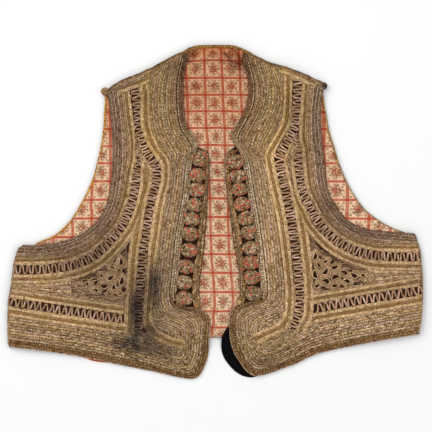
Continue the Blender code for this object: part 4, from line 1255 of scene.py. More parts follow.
def tape_settled(co):
    """The tape, wider where it lies under the left front."""
    out = co.copy()
    x, y = on_paper(co)
    middle = np.interp(y, *zip(*TAPE_MIDDLE))
    out[:, 0] += np.where(x > middle, 5.0, 0) * np.exp(-((y + 176) / 22) ** 4)
    out[:, 0] -= 1.4 * ramp(y, -166, -156) * (x < middle)
    return out


def stand_settled(co):
    """The neck stand, a little lower at its middle and wider at both ends."""
    out = co.copy()
    x, y = on_paper(co)
    top = ramp(y, 192, 204)
    out[:, 1] -= 2.2 * top * ramp(np.abs(x), 34, 26)
    out[:, 0] += np.sign(x) * 5 * top * ramp(np.abs(x), 14, 26)
    return out


# What moves a shell's corners from its solid's to where the cloth lies
SETTLED = {"back": back_settled, "back_lining": back_settled, "collar": stand_settled,
           "collar_lining": stand_settled, "hem_lining_right": hem_settled, "hem_lining_left": hem_settled,
           "waist_tape": tape_settled}


# ---------------------------------------------------------------- bands of cord

LADDERS = (ARM_LADDER, FRONT_LADDER, HEM_LADDER)


def ladder_line(table, side, step=2.0):
    """The middle of a ladder band, with its width as a third number."""
    rows = np.array(table[side], float)
    rows[:, :2] += SHIFT
    return even(smooth_rows(rows, 10), step)


def snapped(points, side, which):
    """Moves a band's edge to the near ladder's edge, where one of these ladders runs beside it."""
    out = points.copy()
    reach, fade = 6.5, 3.0
    for table in [LADDERS[int(k)] for k in which if k.isdigit()]:
        line = ladder_line(table, side)
        gap = np.linalg.norm(points[:, None] - line[None, :, :2], axis=2)
        near = gap.argmin(1)
        d = gap.min(1)
        half = line[near, 2] / 2 + 0.1
        ok = (near > 1) & (near < len(line) - 2) & (d < half + reach) & (d > 0.8)
        pull = np.clip((half + reach - d) / fade, 0, 1)[:, None] * ok[:, None]
        goal = line[near, :2] + (points - line[near, :2]) / np.maximum(d, 1e-6)[:, None] * half[:, None]
        out = np.where(pull > 0, out * (1 - pull) + goal * pull, out)
    return out


def band_lines(table, side, ends, snap):
    """The two guide lines of a band, point for point, and which row of the table each point belongs to."""
    rows = np.array(table[side], float)
    rows = np.column_stack((rows, np.arange(len(rows))))
    first, last = rows[0] - rows[1], rows[-1] - rows[-2]
    extra = [rows[0] + first * ends[0] / np.linalg.norm(first[:2])] if ends[0] else []
    more = [rows[-1] + last * ends[1] / np.linalg.norm(last[:2])] if ends[1] else []
    rows = np.vstack(extra + [rows] + more)
    for k in (0, 2):
        rows[:, k:k + 2] += SHIFT
    both = even(smooth_rows(rows, 12), PACE)
    outer, inner = both[:, :2], both[:, 2:4]
    if "o" in snap:
        outer = snapped(outer, side, snap)
    if "i" in snap:
        inner = snapped(inner, side, snap)
    return outer, inner, both[:, 4]


def on_cloth(points, side, spare=0.0):
    """Which points lie on the front, not beyond its side seam; spare lets them reach over its edge."""
    seam = np.array(SIDE_END[side], float) + SHIFT
    within = (points[:, 0] - np.interp(-points[:, 1], -seam[:, 1], seam[:, 0])) * INWARD[side] > 0.4
    loop = front_outline(side)
    inside = holds(loop, points)
    far = np.flatnonzero(~inside)
    if spare and len(far):
        closed = np.vstack((loop, loop[:1]))
        for part in np.array_split(far, max(1, len(far) // 300)):
            inside[part] = distance_to(closed, points[part]) < spare
    return inside & within


def lifted(points, side, lift=0.0):
    """The points as x, y, z, laid on the front and lifted off it by so much."""
    return np.column_stack((points, lay("front_" + side)(points) + lift))


def runs_of(keep, least=4):
    """First and last places of each unbroken run."""
    edge = np.flatnonzero(np.diff(np.concatenate(([0], keep.astype(int), [0]))))
    return [(a, b) for a, b in zip(edge[::2], edge[1::2]) if b - a >= least]


def spans(kind, unit, *rows):
    """Spans of one kind of braid that are measured from the same edge."""
    return tuple((unit, begin, end, dye, kind, *along) for begin, end, dye, *along in rows)


def triple(unit, *ends):
    """Two light braids with an olive one between them."""
    return spans("braid", unit, *zip(ends[::2], ends[1::2], ("light_gold", "olive", "light_gold")))


# Spans of a band: kind of braid and the edge they are measured from, then each span from and to, its dye and
# the rows it runs along if not all. o and i count millimetres from the outer and the inner edge; m shares out
# what is left between them. Fine cords, c, are counted from the outer edge and give way where the band grows
# narrow.
FINE = ("grey_gold", "tan", "gold", "grey_gold", "tan", "tan", "gold", "grey_gold", "tan", "gold",
        "grey_gold", "tan")
FRONT_SPANS = (
    spans("cord", "o", (-0.8, 1.9, "EDGE", (-9, 9.8)), (2.0, 4.6, "EDGE", (-9, 5.2)),
          (2.2, 4.4, "DASH", (5.2, 9.4)), (4.7, 7.4, "EDGE", (-9, 9.8)), (-0.8, 0.7, "rose_tan", (9.6, 99)))
    + spans("chevron", "o", (0.8, 4.4, "EDGE", (9.6, 99)), (4.5, 8.0, "EDGE", (9.6, 99)))
    + spans("cord", "c", *((8.1 + 3.5 * k, 11.5 + 3.5 * k, dye) for k, dye in enumerate(FINE)))
    + triple("i", 13.2, 9.0, 8.9, 5.8, 5.7, 0.1))
DASH_SPANS = spans("cord", "o", (25.2, 27.4, "DASH", (0.7, 4.6)), (10.4, 11.6, "DASH", (0.6, 3.4)),
                   (5.4, 6.7, "DASH", (0.3, 5.0)), (22.0, 23.2, "DASH", (2, 3.4)))
ARMHOLE_SPANS = (
    spans("cord", "o", (-0.5, 2.4, "umber"), (2.5, 3.8, "rubbed"), (3.9, 6.3, "umber"), (6.4, 7.6, "rubbed"))
    + spans("cord", "m", (0, 0.3, "umber"), (0.3, 0.48, "rubbed"), (0.48, 0.78, "rose_tan"),
            (0.78, 1, "gold"))
    + triple("i", 9.8, 8.2, 8.1, 5.6, 5.5, 0.1))
UNDERARM_SPANS = triple("o", 0.1, 5.2, 5.3, 8.2, 8.3, 12.6) + spans("cord", "o", (12.7, 15.0, "tan"))
MIDDLE_SPANS = triple("o", 0.1, 4.8, 4.9, 8.3, 8.4, 13.4)
WAIST_SPANS = triple("i", 5.2, 0.1, 8.2, 5.3, 12.6, 8.3) + spans("cord", "i", (15.0, 12.7, "tan"))
WEDGE_SPANS = spans("cord", "m", (0, 0.34, "light_gold"), (0.34, 0.66, "tan"), (0.66, 1, "light_gold"))
TONGUE_SPANS = triple("m", 0, 0.34, 0.36, 0.58, 0.6, 1)
CAP_SPANS = (spans("cord", "m", (0, 0.34, "grey_gold"), (0.34, 0.68, "tan"), (0.68, 1, "grey_gold"))
             + spans("braid", "i", (6.8, 5.1, "olive"), (5.0, 0.0, "light_gold")))
# Each band: its rows and spans, how far it runs on at both ends, the edge (outer or inner) that keeps to
# ladders and which of them, its lift, and how much tarnish it shows
BANDS = (
    (FRONT_BAND, FRONT_SPANS, (6, 10), "i12", 0.0, 1.0),
    (ARMHOLE_BAND, ARMHOLE_SPANS, (10, 14), "i0", 0.0, 1.0),
    (UNDERARM_BRAID, UNDERARM_SPANS, (0, 10), "o0", 0.0, 0.4),
    (MIDDLE_BRAID, MIDDLE_SPANS, (0, 0), "o1", 0.15, 0.6),
    (WAIST_BRAID, WAIST_SPANS, (10, 0), "i2", 0.0, 0.3),
    (WEDGE, WEDGE_SPANS, (10, 5), "", 0.1, 0.3),
    (TONGUE_BRAID, TONGUE_SPANS, (0, 0), "", 0.5, 1.0),
    (SHOULDER_CAP, CAP_SPANS, (0, 0), "", 0.9, 1.0),
    (FRONT_BAND, DASH_SPANS, (6, 0), "", 0.8, 1.0),
)
# Rows of the front band, round the tongue, where its inner braids are left out
NO_INNER = (9.9, 16.9)
# Kinds of braid: name of the piece, share of the full rise, twist, and unevenness if it is the same all over
KINDS = {"cord": ("couched_cords_", 0.9, 0.4, None), "braid": ("flat_braids_", 0.8, 0.42, 0.15),
         "chevron": ("edge_braid_", 1.15, 0.3, 0.28)}
# Shares of a band's tarnish that these dyes take, and the tints of a dash and of what lies between two
SOIL_SHARE, DASH_TINT, BETWEEN_TINT = {"DASH": 0.25, "rubbed": 0.6}, 1.36, 0.62
# Millimetres: the seam beside shared cords, the gap after fine ones, the overlap of spans, the least width
SEAM, GAP, OVERLAP, NARROWEST = 0.2, 0.1, 0.12, 0.9


def edge_dye(points):
    """The outer braid of a front: dark at the neck, pale beside the buttons, golden round the hem."""
    x, y = on_paper(points)
    neck = ramp(y, 84, 114)[:, None]
    pale = (ramp(y, -104, -94) * (np.abs(x) < 66))[:, None]
    out = DYE["edge_gold"] * (0.87, 0.84, 0.76) * (1 - pale) + DYE["pale"] * pale
    return out * (1 - neck) + DYE["tarnish"] * neck


def dash_dye(points):
    """Light dashes along a darker cord."""
    run = run_of(points)
    beat = np.sin(run * 1.9 + 1.5 * np.sin(run * 0.4)) > -0.15
    return np.where(beat[:, None], DYE["pale"] * DASH_TINT, DYE["tan"] * BETWEEN_TINT)


def span_shares(span, wide, outer_end, inner_end):
    """Where a span begins and ends, as shares of the band's width at each point."""
    unit, a, b = span[:3]
    if unit == "m":
        room = np.maximum(wide - outer_end - inner_end - 2 * SEAM, 0)
        begin, end = ((outer_end + SEAM + room * share) / wide for share in (a, b))
    elif unit == "i":
        begin, end = 1 - a / wide, 1 - b / wide
    else:
        begin, end = a / wide, b / wide
    if unit == "c":
        end = np.minimum(end, 1 - (inner_end + GAP) / wide)
    begin, end = np.clip(begin, -0.06, 1), np.clip(end, -0.06, 1)
    return begin - OVERLAP / wide, end + OVERLAP / wide


def lay_band(work, seed, side, table, laid, ends, snap, lift, soil):
    """Couches all the spans of one band."""
    outer, inner, row = band_lines(table, side, ends, snap)
    wide = np.linalg.norm(outer - inner, axis=1)
    with_inner = (row <= NO_INNER[0]) | (row >= NO_INNER[1]) | (table is not FRONT_BAND)
    outer_end = max([s[2] for s in laid if s[0] == "o"] + [0.0])
    inner_end = max([s[1] for s in laid if s[0] == "i"] + [0.0]) * with_inner
    full_rise = bpy.context.scene.vest_sizes.braid_rise / MM
    rng = np.random.default_rng(seed * 2 + (side == "left"))
    for number, span in enumerate(laid):
        unit, _, _, dye, kind, *rows = span
        begin, end = span_shares(span, wide, outer_end, inner_end)
        p, q = (outer * (1 - t)[:, None] + inner * t[:, None] for t in (begin, end))
        middle = (p + q) / 2
        keep = ((end - begin) * wide > NARROWEST) & on_cloth(middle, side, 0.8)
        if unit == "i":
            keep &= with_inner
        for first, last in rows:
            keep &= (row >= first) & (row <= last)
        tone = rng.uniform(0.86, 1.12) if unit == "c" else rng.uniform(0.9, 1.1)
        _, rise, twist, uneven = KINDS[kind]
        for i, j in runs_of(keep):
            at = middle[i:j]
            tint = {"EDGE": edge_dye, "DASH": dash_dye}[dye](at) if dye.isupper() else DYE[dye]
            work[kind].plait(lifted(p[i:j], side, lift), lifted(q[i:j], side, lift), full_rise * rise,
                             dyed(tint * tone, at, soil * SOIL_SHARE.get(dye, 1)), twist,
                             lean=0.5 * rng.choice((-1, 1)), start=rng.random(),
                             uneven=uneven or wear(at), seed=seed * 1000 + number * 10 + i % 10)


def sew_bands(side):
    """All the bands of one front, as one piece for each kind of braid."""
    work = {kind: Work() for kind in KINDS}
    for seed, band in enumerate(BANDS, 1):
        lay_band(work, seed, side, *band)
    sew_padding(work["cord"], side)
    sew_piping(work["cord"], side)
    for kind, (name, *_) in KINDS.items():
        work[kind].sew(name + side, kind, "gilt_braid")


def level_of(points, nodes, least=0.6):
    """The highest of several solids under each point, smoothed along the line."""
    z = np.max([lay(n)(points) for n in nodes] + [np.full(len(points), least)], axis=0)
    for _ in range(4):
        z[1:-1] = (z[:-2] + 2 * z[1:-1] + z[2:]) / 4
    return z


def sew_padding(work, side):
    """Rows of plain cord under the places where two bands part."""
    width, apart = 2.6, 2.5
    for seed, (turn, *corners) in enumerate(PADDING[side]):
        loop = np.array(corners, float) + SHIFT
        middle = loop.mean(0)
        reach = np.linalg.norm(loop - middle, axis=1).max()
        way = np.array((math.cos(math.radians(turn)), math.sin(math.radians(turn))))
        t = np.arange(-reach, reach, 1.0)
        for row, off in enumerate(np.arange(-reach, reach, apart)):
            line = middle + t[:, None] * way + (off + 0.5 * np.sin(t / 9 + row))[:, None] * (-way[1], way[0])
            keep = holds(loop, line) & on_cloth(line, side)
            for i, j in runs_of(keep, 3):
                part = line[i:j]
                tint = DYE[("tan", "rose_tan", "moss_tan")[row % 3]] * 0.85
                work.cord(lifted(part, side, 0.05), width, dyed(tint, part, 0.8), rise=0.4, uneven=0.3,
                          seed=row + 50 * seed)


def sew_piping(work, side):
    """The wrapped cords that close the side seam and the shoulder's edge."""
    wound = {"rise": 0.9, "relief": 0.03, "uneven": 0.22}
    line = cord_line(SIDE_END[side][2:-1]) + SHIFT + (INWARD[side] * 1.1, 0)
    z = level_of(line, ["front_" + side])
    work.cord(np.column_stack((line, z + 0.2)), 2.9, dyed(DYE["tan"] * 0.85, line, 0.6), seed=61, **wound)
    line = cord_line(SHOULDER_LINE[side])
    way = left_of(line) * INWARD[side]
    for inset, width, dye, lift in ((1.3, 2.4, "moss", 0.2), (3.6, 2.8, "moss_tan", 0.5)):
        path = (line + SHIFT - way * inset)[np.abs(line[:, 0]) > 43]
        z = level_of(path, ["front_" + side, "collar", "neck_cord", "back"])
        work.cord(np.column_stack((path, z + lift)), width, dyed(DYE[dye] * 0.8, path, 0.3), seed=62, **wound)


# Each ladder: its steps at both ends, as shares of the ladder step, and how square its turns are
LADDER_TURNS = (((0.86, 1.1), 0.7), ((0.95, 1.0), 0.75), ((1.08, 1.0), 0.3))


def serpentine(line, steps, square):
    """A cord's path that winds across a line of x, y, width, square or pointed at its turns."""
    run = run_of(line[:, :2])
    pace = 0.5
    s = np.arange(0, run[-1], pace)
    step = np.interp(s, (0, run[-1]), steps)
    phase = 2 * math.pi * np.cumsum(pace / step) + 0.35 * np.sin(s * 0.31) + 0.25 * np.sin(s * 0.83 + 1)
    at = s - square * step / (4 * math.pi) * np.sin(2 * phase)
    x, y, w, nx, ny = (np.interp(at, run, c) for c in np.column_stack((line, left_of(line))).T)
    swing = np.clip(1.25 * np.sin(phase), -1, 1) * (w / 2 - 0.3) * (1 + 0.06 * np.sin(s * 0.47))
    return np.stack((x + nx * swing, y + ny * swing), axis=1), np.stack((x, y), axis=1), w


def sew_ladders(side):
    """The open bands: a cord that winds from edge to edge over the dark cloth."""
    sizes = bpy.context.scene.vest_sizes
    thick, pitch = sizes.ladder_cord / MM, sizes.ladder_step / MM
    work = Work()
    height = lay("front_" + side)
    dye = DYE["rose_tan"] * (1.12 if side == "left" else 1.0)
    for table, (steps, square) in zip(LADDERS, LADDER_TURNS):
        path, middle, w = serpentine(ladder_line(table, side, 1.0), [k * pitch for k in steps], square)
        keep = on_cloth(path, side)
        path, middle, w = path[keep], middle[keep], w[keep]
        z = np.minimum(height(path), height(middle) + 0.8)
        size = np.minimum(thick, w * 0.3)
        work.cord(np.column_stack((path, z + size * 0.25)), size, dyed(dye, path, 0.5), rise=0.75,
                  sides=6, low=-20, relief=0.04, uneven=0.24, seed=17)
    work.sew("ladder_cords_" + side, "ladder", "gilt_braid")


def leaf_outline(x, y, length, turn, bend, grow, steps=22):
    """A bent leaf: pointed at one end and round at the other, grown outward by grow."""
    a = np.linspace(0, 2 * math.pi, steps, endpoint=False)
    u = np.cos(a)
    w = 0.24 * np.sin(a) * (1 - 0.5 * u)
    px = (length / 2 + grow) * u
    py = (length * w) * (1 + grow / (length * 0.22)) + bend * length * 0.35 * (u ** 2 - 0.5)
    c, s = math.cos(math.radians(turn)), math.sin(math.radians(turn))
    return np.stack((x + px * c - py * s, y + px * s + py * c), axis=1)


# Cords round each leaf: how far outside it, dye and width
LEAF_CORDS = ((0.2, "light_gold", 1.7), (2.0, "rose_tan", 1.6), (3.5, "light_gold", 1.3))
# Millimetres: how far the flowing cords reach past the panel, from one to the next, their width, and from
# point to point along them
PANEL_SPREAD, FLOW_APART, FLOW_WIDTH, FLOW_PACE = 4.5, 2.1, 1.6, 1.1
# How much longer a leaf's hole is than the leaf, and the steepness of the flow
LEAF_GROWTH, FLOW_LEAN = 1.24, 0.35


def sew_corner(side):
    """The corner panel: cords that flow round leaf-shaped holes."""
    work = Work()
    rng = np.random.default_rng(31)
    loop = np.array(CORNER_PANEL[side], float) + SHIFT
    out = loop - loop.mean(0)
    loop = loop + out / np.linalg.norm(out, axis=1)[:, None] * PANEL_SPREAD
    leaves = [(x + SHIFT[0], y + SHIFT[1], length * LEAF_GROWTH, turn, bend)
              for x, y, length, turn, bend in PANEL_LEAVES[side]]
    gaps = [leaf_outline(x + SHIFT[0], y + SHIFT[1], length, turn, 0.2, -0.3)
            for x, y, length, turn in PANEL_GAPS[side]]
    holes = [leaf_outline(*leaf, -0.2) for leaf in leaves] + gaps
    low, high = loop.min(0), loop.max(0)
    flow_dye = DYE["rose_tan"] * (1, 0.95, 0.9)
    x = np.arange(low[0], high[0], FLOW_PACE)
    beyond = 40
    for row, y in enumerate(np.arange(low[1] - beyond, high[1] + beyond, FLOW_APART)):
        waves = 2.6 * np.sin(x / 7 + row * 0.25)
        line = np.stack((x, y + FLOW_LEAN * INWARD[side] * (x - x.mean()) + waves), axis=1)
        keep = holds(loop, line)
        for hole in holes:
            keep &= ~holds(hole, line)
        for i, j in runs_of(keep, 3):
            part = line[i:j]
            dye = dyed(flow_dye * rng.uniform(0.37, 0.78), part, 0.5)
            work.cord(lifted(part, side, 0.2), FLOW_WIDTH, dye, rise=0.6, low=-10, start=rng.random(),
                      uneven=0.2, seed=row)
    for k, leaf in enumerate(leaves):
        for grow, dye, size in LEAF_CORDS:
            path = leaf_outline(*leaf, grow, 30)
            path = np.vstack((path, path[:2]))
            keep = holds(loop, path)
            for gap in gaps:
                keep &= (grow < 1) | ~holds(gap, path)
            for i, j in runs_of(keep):
                part = path[i:j]
                tint = DYE[dye] * rng.uniform(0.88, 1.05)
                work.cord(lifted(part, side, 1.0 - 0.15 * grow), size, dyed(tint, part, 0.4), rise=0.9,
                          low=-30, uneven=0.15, seed=k)
    work.sew("corner_cords_" + side, "ladder", "gilt_braid")


# ---------------------------------------------------------------- buttons, knobs, strips and cords

# A button beside its solid: its size along and across, its height, and the share of the height at its rim
ALONG, ACROSS, CROWN, RIM = 1.14, 1.05, 0.92, 0.16
# Rings of corners up a button, the height angle of the lowest, and from there to the highest
RINGS, RING_LOW, RING_SPAN = 12, -14, 98
# Knots on a button, and the turn from one to the next
BUTTON_KNOTS, GOLDEN_ANGLE = 26, 2.39996


def button_turn(rows, i):
    """The way a button faces: square to its row."""
    a, b = np.array(rows[max(i - 1, 0)]), np.array(rows[min(i + 1, len(rows) - 1)])
    return math.atan2(b[1] - a[1], b[0] - a[0]) + math.pi / 2


def make_button(side, i):
    """A padded button wrapped with thread from its middle, with red and moss knots."""
    node = "button_%s_%02d" % (side, i + 1)
    low, high = box_of(node)
    centre = (low + high) / 2
    turn = button_turn(BUTTON_ROWS[side], i)
    c, s = math.cos(turn), math.sin(turn)
    red = BUTTON_REDS[side][i]
    wraps = bpy.context.scene.vest_sizes.button_wraps
    sides = wraps * 3
    rx, ry, tall = (high - low) * (ALONG / 2, ACROSS / 2, CROWN)
    points, maps, dyes = [], [], []
    for r in range(RINGS):
        t = r / (RINGS - 1)
        a = math.radians(RING_LOW + RING_SPAN * t)
        out = max(math.cos(a), 0.02) ** 0.75
        level = max(0.0, RIM + (1 - RIM) * math.sin(a)) if r else 0.0
        for k in range(sides):
            b = 2 * math.pi * k / sides
            ridge = (0.5 + 0.5 * math.cos(wraps * b + 0.9 * t)) if 0 < r < RINGS - 1 else 0
            uneven = 0.3 * math.sin(3 * b + i) + 0.25 * math.sin(5 * b + 2 * i)
            u = (rx + uneven) * out * math.cos(b)
            v = (ry + uneven) * out * math.sin(b)
            swell = 1 + 0.03 * ridge
            points.append((centre[0] + (u * c - v * s) * swell, centre[1] + (u * s + v * c) * swell,
                           low[2] + tall * level + ridge * 0.3))
            maps.append((wraps * b / (2 * math.pi) * 0.5 + t, min(1.0, 0.1 + t * 2.2)))
            blush = max(0.0, math.sin(2 * b + 1.7 * i + 3 * t) * 0.5 + 0.5) * red
            dyes.append((0.1 + 0.6 * blush, 0.3, 0.2))
    work = Work()
    work.add(points, ball_faces(RINGS, sides), maps, dyes)
    rng = np.random.default_rng(100 * (side == "left") + i)
    for n in range(BUTTON_KNOTS):
        share = math.sqrt((n + 0.5) / BUTTON_KNOTS) * 0.92
        b = n * GOLDEN_ANGLE + i
        u, v = rx * share * math.cos(b), ry * share * math.sin(b)
        knot = rng.random() < 0.08 + 0.24 * red
        size = rng.uniform(1.6, 2.4) if knot else rng.uniform(0.9, 1.8)
        z = low[2] + tall * (RIM + (1 - RIM) * math.sqrt(max(0.0, 1 - share ** 2)) ** 0.9)
        work.bead((centre[0] + u * c - v * s, centre[1] + u * s + v * c, z - 0.2), size,
                  (1.0 if knot else 0.15, 0.3, 0.2), tall=0.55)
    work.sew("thread_" + node, "knots", "olive_thread", node)


# Each knob: how far it is moved across, its size beside its solid, and its dye
KNOB_LOOKS = {"right": (0, 1, DYE["tan"] * (0.66, 0.6, 0.54)), "left": (-4.5, 0.86, DYE["tarnish"] * 0.35)}
# Corners round a knob and up it, the height angle of its lowest ring, and from there to its highest
KNOB_SIDES, KNOB_ROWS, KNOB_LOW, KNOB_SPAN = 36, 18, -66, 152


def make_knob(side):
    """A ball of wound thread at the shoulder tip."""
    node = "shoulder_knob_" + side
    moved, size, dye = KNOB_LOOKS[side]
    low, high = box_of(node)
    centre = (low + high) / 2 + (moved, 0, 0)
    radius = (high[0] - low[0]) / 2 * size
    points, maps = [], []
    for r in range(KNOB_ROWS):
        a = math.radians(KNOB_LOW + KNOB_SPAN * r / (KNOB_ROWS - 1))
        for k in range(KNOB_SIDES):
            b = 2 * math.pi * k / KNOB_SIDES
            turns = (9 * a + 3 * math.sin(b) + 2 * b) / (2 * math.pi)
            wound = 1 + 0.04 * math.sin(2 * math.pi * turns)
            points.append((centre[0] + radius * wound * math.cos(a) * math.cos(b),
                           centre[1] + radius * wound * math.cos(a) * math.sin(b),
                           low[2] + radius * 0.9 + radius * wound * math.sin(a)))
            maps.append((turns, 1.0))
    work = Work()
    work.add(points, ball_faces(KNOB_ROWS, KNOB_SIDES), maps, [dye] * len(points))
    work.sew("wound_knob_" + side, "wrap", "olive_thread", node)


def opening_edge(side, inset):
    """The front's edge beside its buttons, from the ledge up to the neck, set in by so much."""
    cover = lay("front_" + side)
    ledge, neck, step = -121, 78, 2.5
    rows = []
    for y in np.arange(ledge, neck, step) + SHIFT[1]:
        j = int(round((y - cover.low[1]) / cover.pitch))
        at = np.flatnonzero(cover.real[j]) * cover.pitch + cover.low[0]
        rows.append(((at.max() if side == "right" else at.min()) - inset * INWARD[side], y))
    line = np.array(rows)
    for _ in range(3):
        line[1:-1, 0] = (line[:-2, 0] + line[1:-1, 0] * 2 + line[2:, 0]) / 4
    return even(line, 0.9)


# The strip's dye, and its small knots: how many, how red they may be and how often each
STRIP_DYE, STRIP_KNOTS = (0.3, 1.0, 0.2), 420
KNOT_REDS, RED_CHANCES = (0.1, 0.3, 0.5, 1.0), (0.3, 0.3, 0.33, 0.07)
# Cords along a strip: how far beside its edge, lift, width and dye
STRIP_CORDS = ((0.0, 0.5, 1.8, "moss_tan"), (1.7, 0.7, 1.3, "moss"))


def make_strip(side):
    """The knotted strip beside the buttons, its edge cord and its small knots."""
    node = "button_strip_" + side
    shell_of(node, "knotted_strip_" + side, "knots", cuts=2,
             ripple=lambda co: 0.35 * np.sin(co[:, 0] * 2.1) * np.sin(co[:, 1] * 2.4),
             dye=lambda co: np.repeat((STRIP_DYE,), len(co), axis=0))
    rng = np.random.default_rng(55 + (side == "left"))
    edge = opening_edge(side, 0.7)
    ground = lay("front_" + side)
    work = Work()
    for _ in range(STRIP_KNOTS):
        k = rng.integers(0, len(edge))
        x, y = edge[k, 0] - INWARD[side] * rng.uniform(0.6, 8), edge[k, 1]
        z = float(ground(np.array([(x, y)]))[0])
        size = rng.uniform(0.7, 1.3)
        dye = (rng.choice(KNOT_REDS, p=RED_CHANCES), 1.0, 0.2)
        work.bead((x, y, max(z + 1.1, 0)), size, dye, tall=0.6, sides=6, rows=3)
    work.sew("strip_knots_" + side, "knots", "olive_thread")
    line = cord_line(STRIP_CORD[side]) + SHIFT
    z = level_of(line, ["front_" + side, node], 0.0)
    cords = Work()
    for beside, lift, width, dye in STRIP_CORDS:
        path = line + left_of(line) * beside * INWARD[side]
        cords.cord(np.column_stack((path, z + lift)), width, DYE[dye] * 0.9, rise=0.9, uneven=0.25, seed=5)
    cords.sew("strip_cord_" + side, "wrap", "olive_thread")


def make_edge_cord(node, table, hand, width, under, tint, tan_below=-math.inf):
    """A gold cord whipped along an edge of the back or its neck, in place of its plain solid."""
    line = cord_line(table) + SHIFT
    line = line + left_of(line) * 0.9 * hand * max(1.0, width / 2.8)
    z = level_of(line, under + [node], 1.0)
    dyes = np.where(line[:, 1:] - SHIFT[1] > tan_below, DYE["edge_gold"] * tint, DYE["tan"])
    work = Work()
    work.cord(np.column_stack((line, z - 0.5)), width, dyes, rise=min(1.0, 2.6 / width), sides=8, low=-80,
              twist=0.6, relief=0.05, uneven=0.25, seed=9)
    work.sew("gold_" + node, "cord", "gold_cord", node)


# ---------------------------------------------------------------- operators

class VEST_OT_cloth(bpy.types.Operator):
    """Lays the felted fronts, back and neck stand"""
    bl_idname = "vest.cloth"
    bl_label = "Felted cloth"

    def execute(self, context):
        for side in SIDES:
            shell_of("front_" + side, "felt_front_" + side, "felt",
                     ripple=lambda co: 0.12 * np.sin(co[:, 0] * 0.9) * np.sin(co[:, 1] * 0.8),
                     settle=lambda co: drawn_in(co, front_outline(side), 0.8))
        for node, name in (("back", "felt_back"), ("collar", "felt_neck_stand")):
            shell_of(node, name, "felt", cuts=0, settle=SETTLED[node])
        return {"FINISHED"}


class VEST_OT_lining(bpy.types.Operator):
    """Lays the printed cotton inside the back, the neck stand and the hems"""
    bl_idname = "vest.lining"
    bl_label = "Printed lining"

    def execute(self, context):
        for node, name, cuts in (
                ("back_lining", "cotton_back_lining", 5), ("collar_lining", "cotton_stand_lining", 2),
                ("hem_lining_right", "cotton_hem_right", 1), ("hem_lining_left", "cotton_hem_left", 1)):
            shell_of(node, name, "cotton", cuts=cuts, maps=check_maps, dye=lining_shade,
                     ripple=lining_ripple if node == "back_lining" else None, settle=SETTLED[node])
        return {"FINISHED"}


class VEST_OT_bands(bpy.types.Operator):
    """Couches the rows of cord and flat braid on both fronts"""
    bl_idname = "vest.bands"
    bl_label = "Cord and braid bands"

    def execute(self, context):
        for side in SIDES:
            sew_bands(side)
        return {"FINISHED"}


class VEST_OT_ladders(bpy.types.Operator):
    """Winds the ladder cords over the dark bands"""
    bl_idname = "vest.ladders"
    bl_label = "Ladder cords"

    def execute(self, context):
        for side in SIDES:
            sew_ladders(side)
        return {"FINISHED"}


class VEST_OT_corners(bpy.types.Operator):
    """Fills the corner panels with flowing cord"""
    bl_idname = "vest.corners"
    bl_label = "Corner panels"

    def execute(self, context):
        for side in SIDES:
            sew_corner(side)
        return {"FINISHED"}


class VEST_OT_buttons(bpy.types.Operator):
    """Sews on the thread buttons, their strips and the shoulder knobs"""
    bl_idname = "vest.buttons"
    bl_label = "Buttons, strips and knobs"

    def execute(self, context):
        for side in SIDES:
            make_strip(side)
            for i in range(len(BUTTON_ROWS[side])):
                make_button(side, i)
            make_knob(side)
        return {"FINISHED"}


class VEST_OT_edges(bpy.types.Operator):
    """Lays the gold cords of the neck and armholes and the waist tape"""
    bl_idname = "vest.edges"
    bl_label = "Edge cords and tape"

    def execute(self, context):
        make_edge_cord("neck_cord", NECK_EDGE, -1, 4.2, ["collar", "collar_lining"], (0.98, 0.83, 0.32))
        lower = ["back_lining", "back"]
        make_edge_cord("armhole_cord_right", ARMHOLE_EDGE["right"], 1, 2.5, lower, (2.1, 1.75, 0.55))
        make_edge_cord("armhole_cord_left", ARMHOLE_EDGE["left"], -1, 2.3, lower, (1.4, 1.3, 0.6), 60)
        shell_of("waist_tape", "ribbed_waist_tape", "tape", settle=SETTLED["waist_tape"])
        return {"FINISHED"}


class VEST_OT_declare(bpy.types.Operator):
    """Reads the size of each cloth sheet"""
    bl_idname = "vest.declare"
    bl_label = "State the cuts"

    def execute(self, context):
        declare("felt_back")
        declare("cotton_back_lining")
        declare("felt_neck_stand")
        declare("cotton_stand_lining")
        for side in SIDES:
            declare("felt_front_" + side)
            declare("cotton_hem_" + side)
        declare("ribbed_waist_tape")
        return {"FINISHED"}


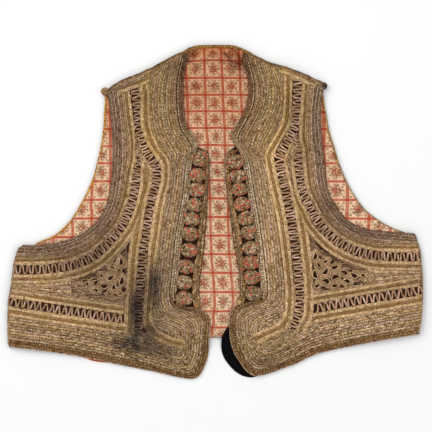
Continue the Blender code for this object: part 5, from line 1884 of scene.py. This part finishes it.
class VEST_OT_stage(bpy.types.Operator):
    """Sets the pale table, the soft lights and the camera above it"""
    bl_idname = "vest.stage"
    bl_label = "Table, lights and camera"

    def execute(self, context):
        scene = context.scene
        s = scene.vest_stage
        # the table's half width and how far it lies below the cloth, in metres
        half, below = 3.0, 0.0002
        mesh = bpy.data.meshes.new("table")
        mesh.from_pydata([(x * half, y * half, -below) for x, y in ((-1, -1), (1, -1), (1, 1), (-1, 1))], [],
                         [(0, 1, 2, 3)])
        r = Recipe("pale table")
        colour = r.mix(r.noise(r.place(), 30, 2, 0.5), (0.975, 0.975, 0.975), (0.99, 0.99, 0.99))
        mesh.materials.append(r.finish(colour, 0.9, specular=0.1))
        placed("table", mesh)
        for name, at, size, power in (("main light", (-0.9, 0.9, 1.5), 1.4, s.key_power),
                                      ("fill light", (1.1, -0.5, 1.6), 1.8, s.fill_power)):
            lamp = bpy.data.lights.new(name, "AREA")
            lamp.shape = "SQUARE"
            lamp.size = size
            lamp.energy = power
            item = placed(name, lamp)
            item.location = at
            item.rotation_euler = (-Vector(at)).to_track_quat("-Z", "Y").to_euler()
        world = bpy.data.worlds.new("room")
        world.use_nodes = True
        sky = world.node_tree.nodes["Background"]
        sky.inputs["Color"].default_value = (1, 1, 1, 1)
        sky.inputs["Strength"].default_value = s.sky
        scene.world = world
        eye = bpy.data.cameras.new("camera")
        eye.sensor_width = 36
        eye.lens = eye.sensor_width * s.camera_height / s.view_width
        scene.camera = placed("camera", eye)
        scene.camera.location = ((0.5 + SHIFT[0]) * MM, (SHIFT[1] - 5.6) * MM, s.camera_height)
        scene.view_settings.view_transform = "Standard"
        scene.view_settings.look = "None"
        return {"FINISHED"}


class VEST_PT_panel(bpy.types.Panel):
    """Lists the vest's sizes, colours and pieces"""
    bl_idname = "VEST_PT_panel"
    bl_label = "Folk vest"
    bl_space_type = "VIEW_3D"
    bl_region_type = "UI"
    bl_category = "Vest"

    def draw(self, context):
        for group in (context.scene.vest_sizes, context.scene.vest_colours, context.scene.vest_stage):
            box = self.layout.box()
            for key in group.__annotations__:
                box.prop(group, key)
        for step in STEPS:
            self.layout.operator(step.bl_idname)


STEPS = (VEST_OT_cloth, VEST_OT_lining, VEST_OT_bands, VEST_OT_ladders, VEST_OT_corners, VEST_OT_buttons,
         VEST_OT_edges, VEST_OT_declare, VEST_OT_stage)
GROUPS = (("vest_sizes", VestSizes), ("vest_colours", VestColours), ("vest_stage", VestStage))


def register():
    for name, group in GROUPS:
        bpy.utils.register_class(group)
        setattr(bpy.types.Scene, name, bpy.props.PointerProperty(type=group))
    for step in STEPS:
        bpy.utils.register_class(step)
    bpy.utils.register_class(VEST_PT_panel)


def unregister():
    bpy.utils.unregister_class(VEST_PT_panel)
    for step in reversed(STEPS):
        bpy.utils.unregister_class(step)
    for name, group in reversed(GROUPS):
        delattr(bpy.types.Scene, name)
        bpy.utils.unregister_class(group)


def main():
    register()
    bpy.ops.vest.cloth()
    bpy.ops.vest.lining()
    bpy.ops.vest.bands()
    bpy.ops.vest.ladders()
    bpy.ops.vest.corners()
    bpy.ops.vest.buttons()
    bpy.ops.vest.edges()
    bpy.ops.vest.declare()
    bpy.ops.vest.stage()


if __name__ == "__main__":
    main()
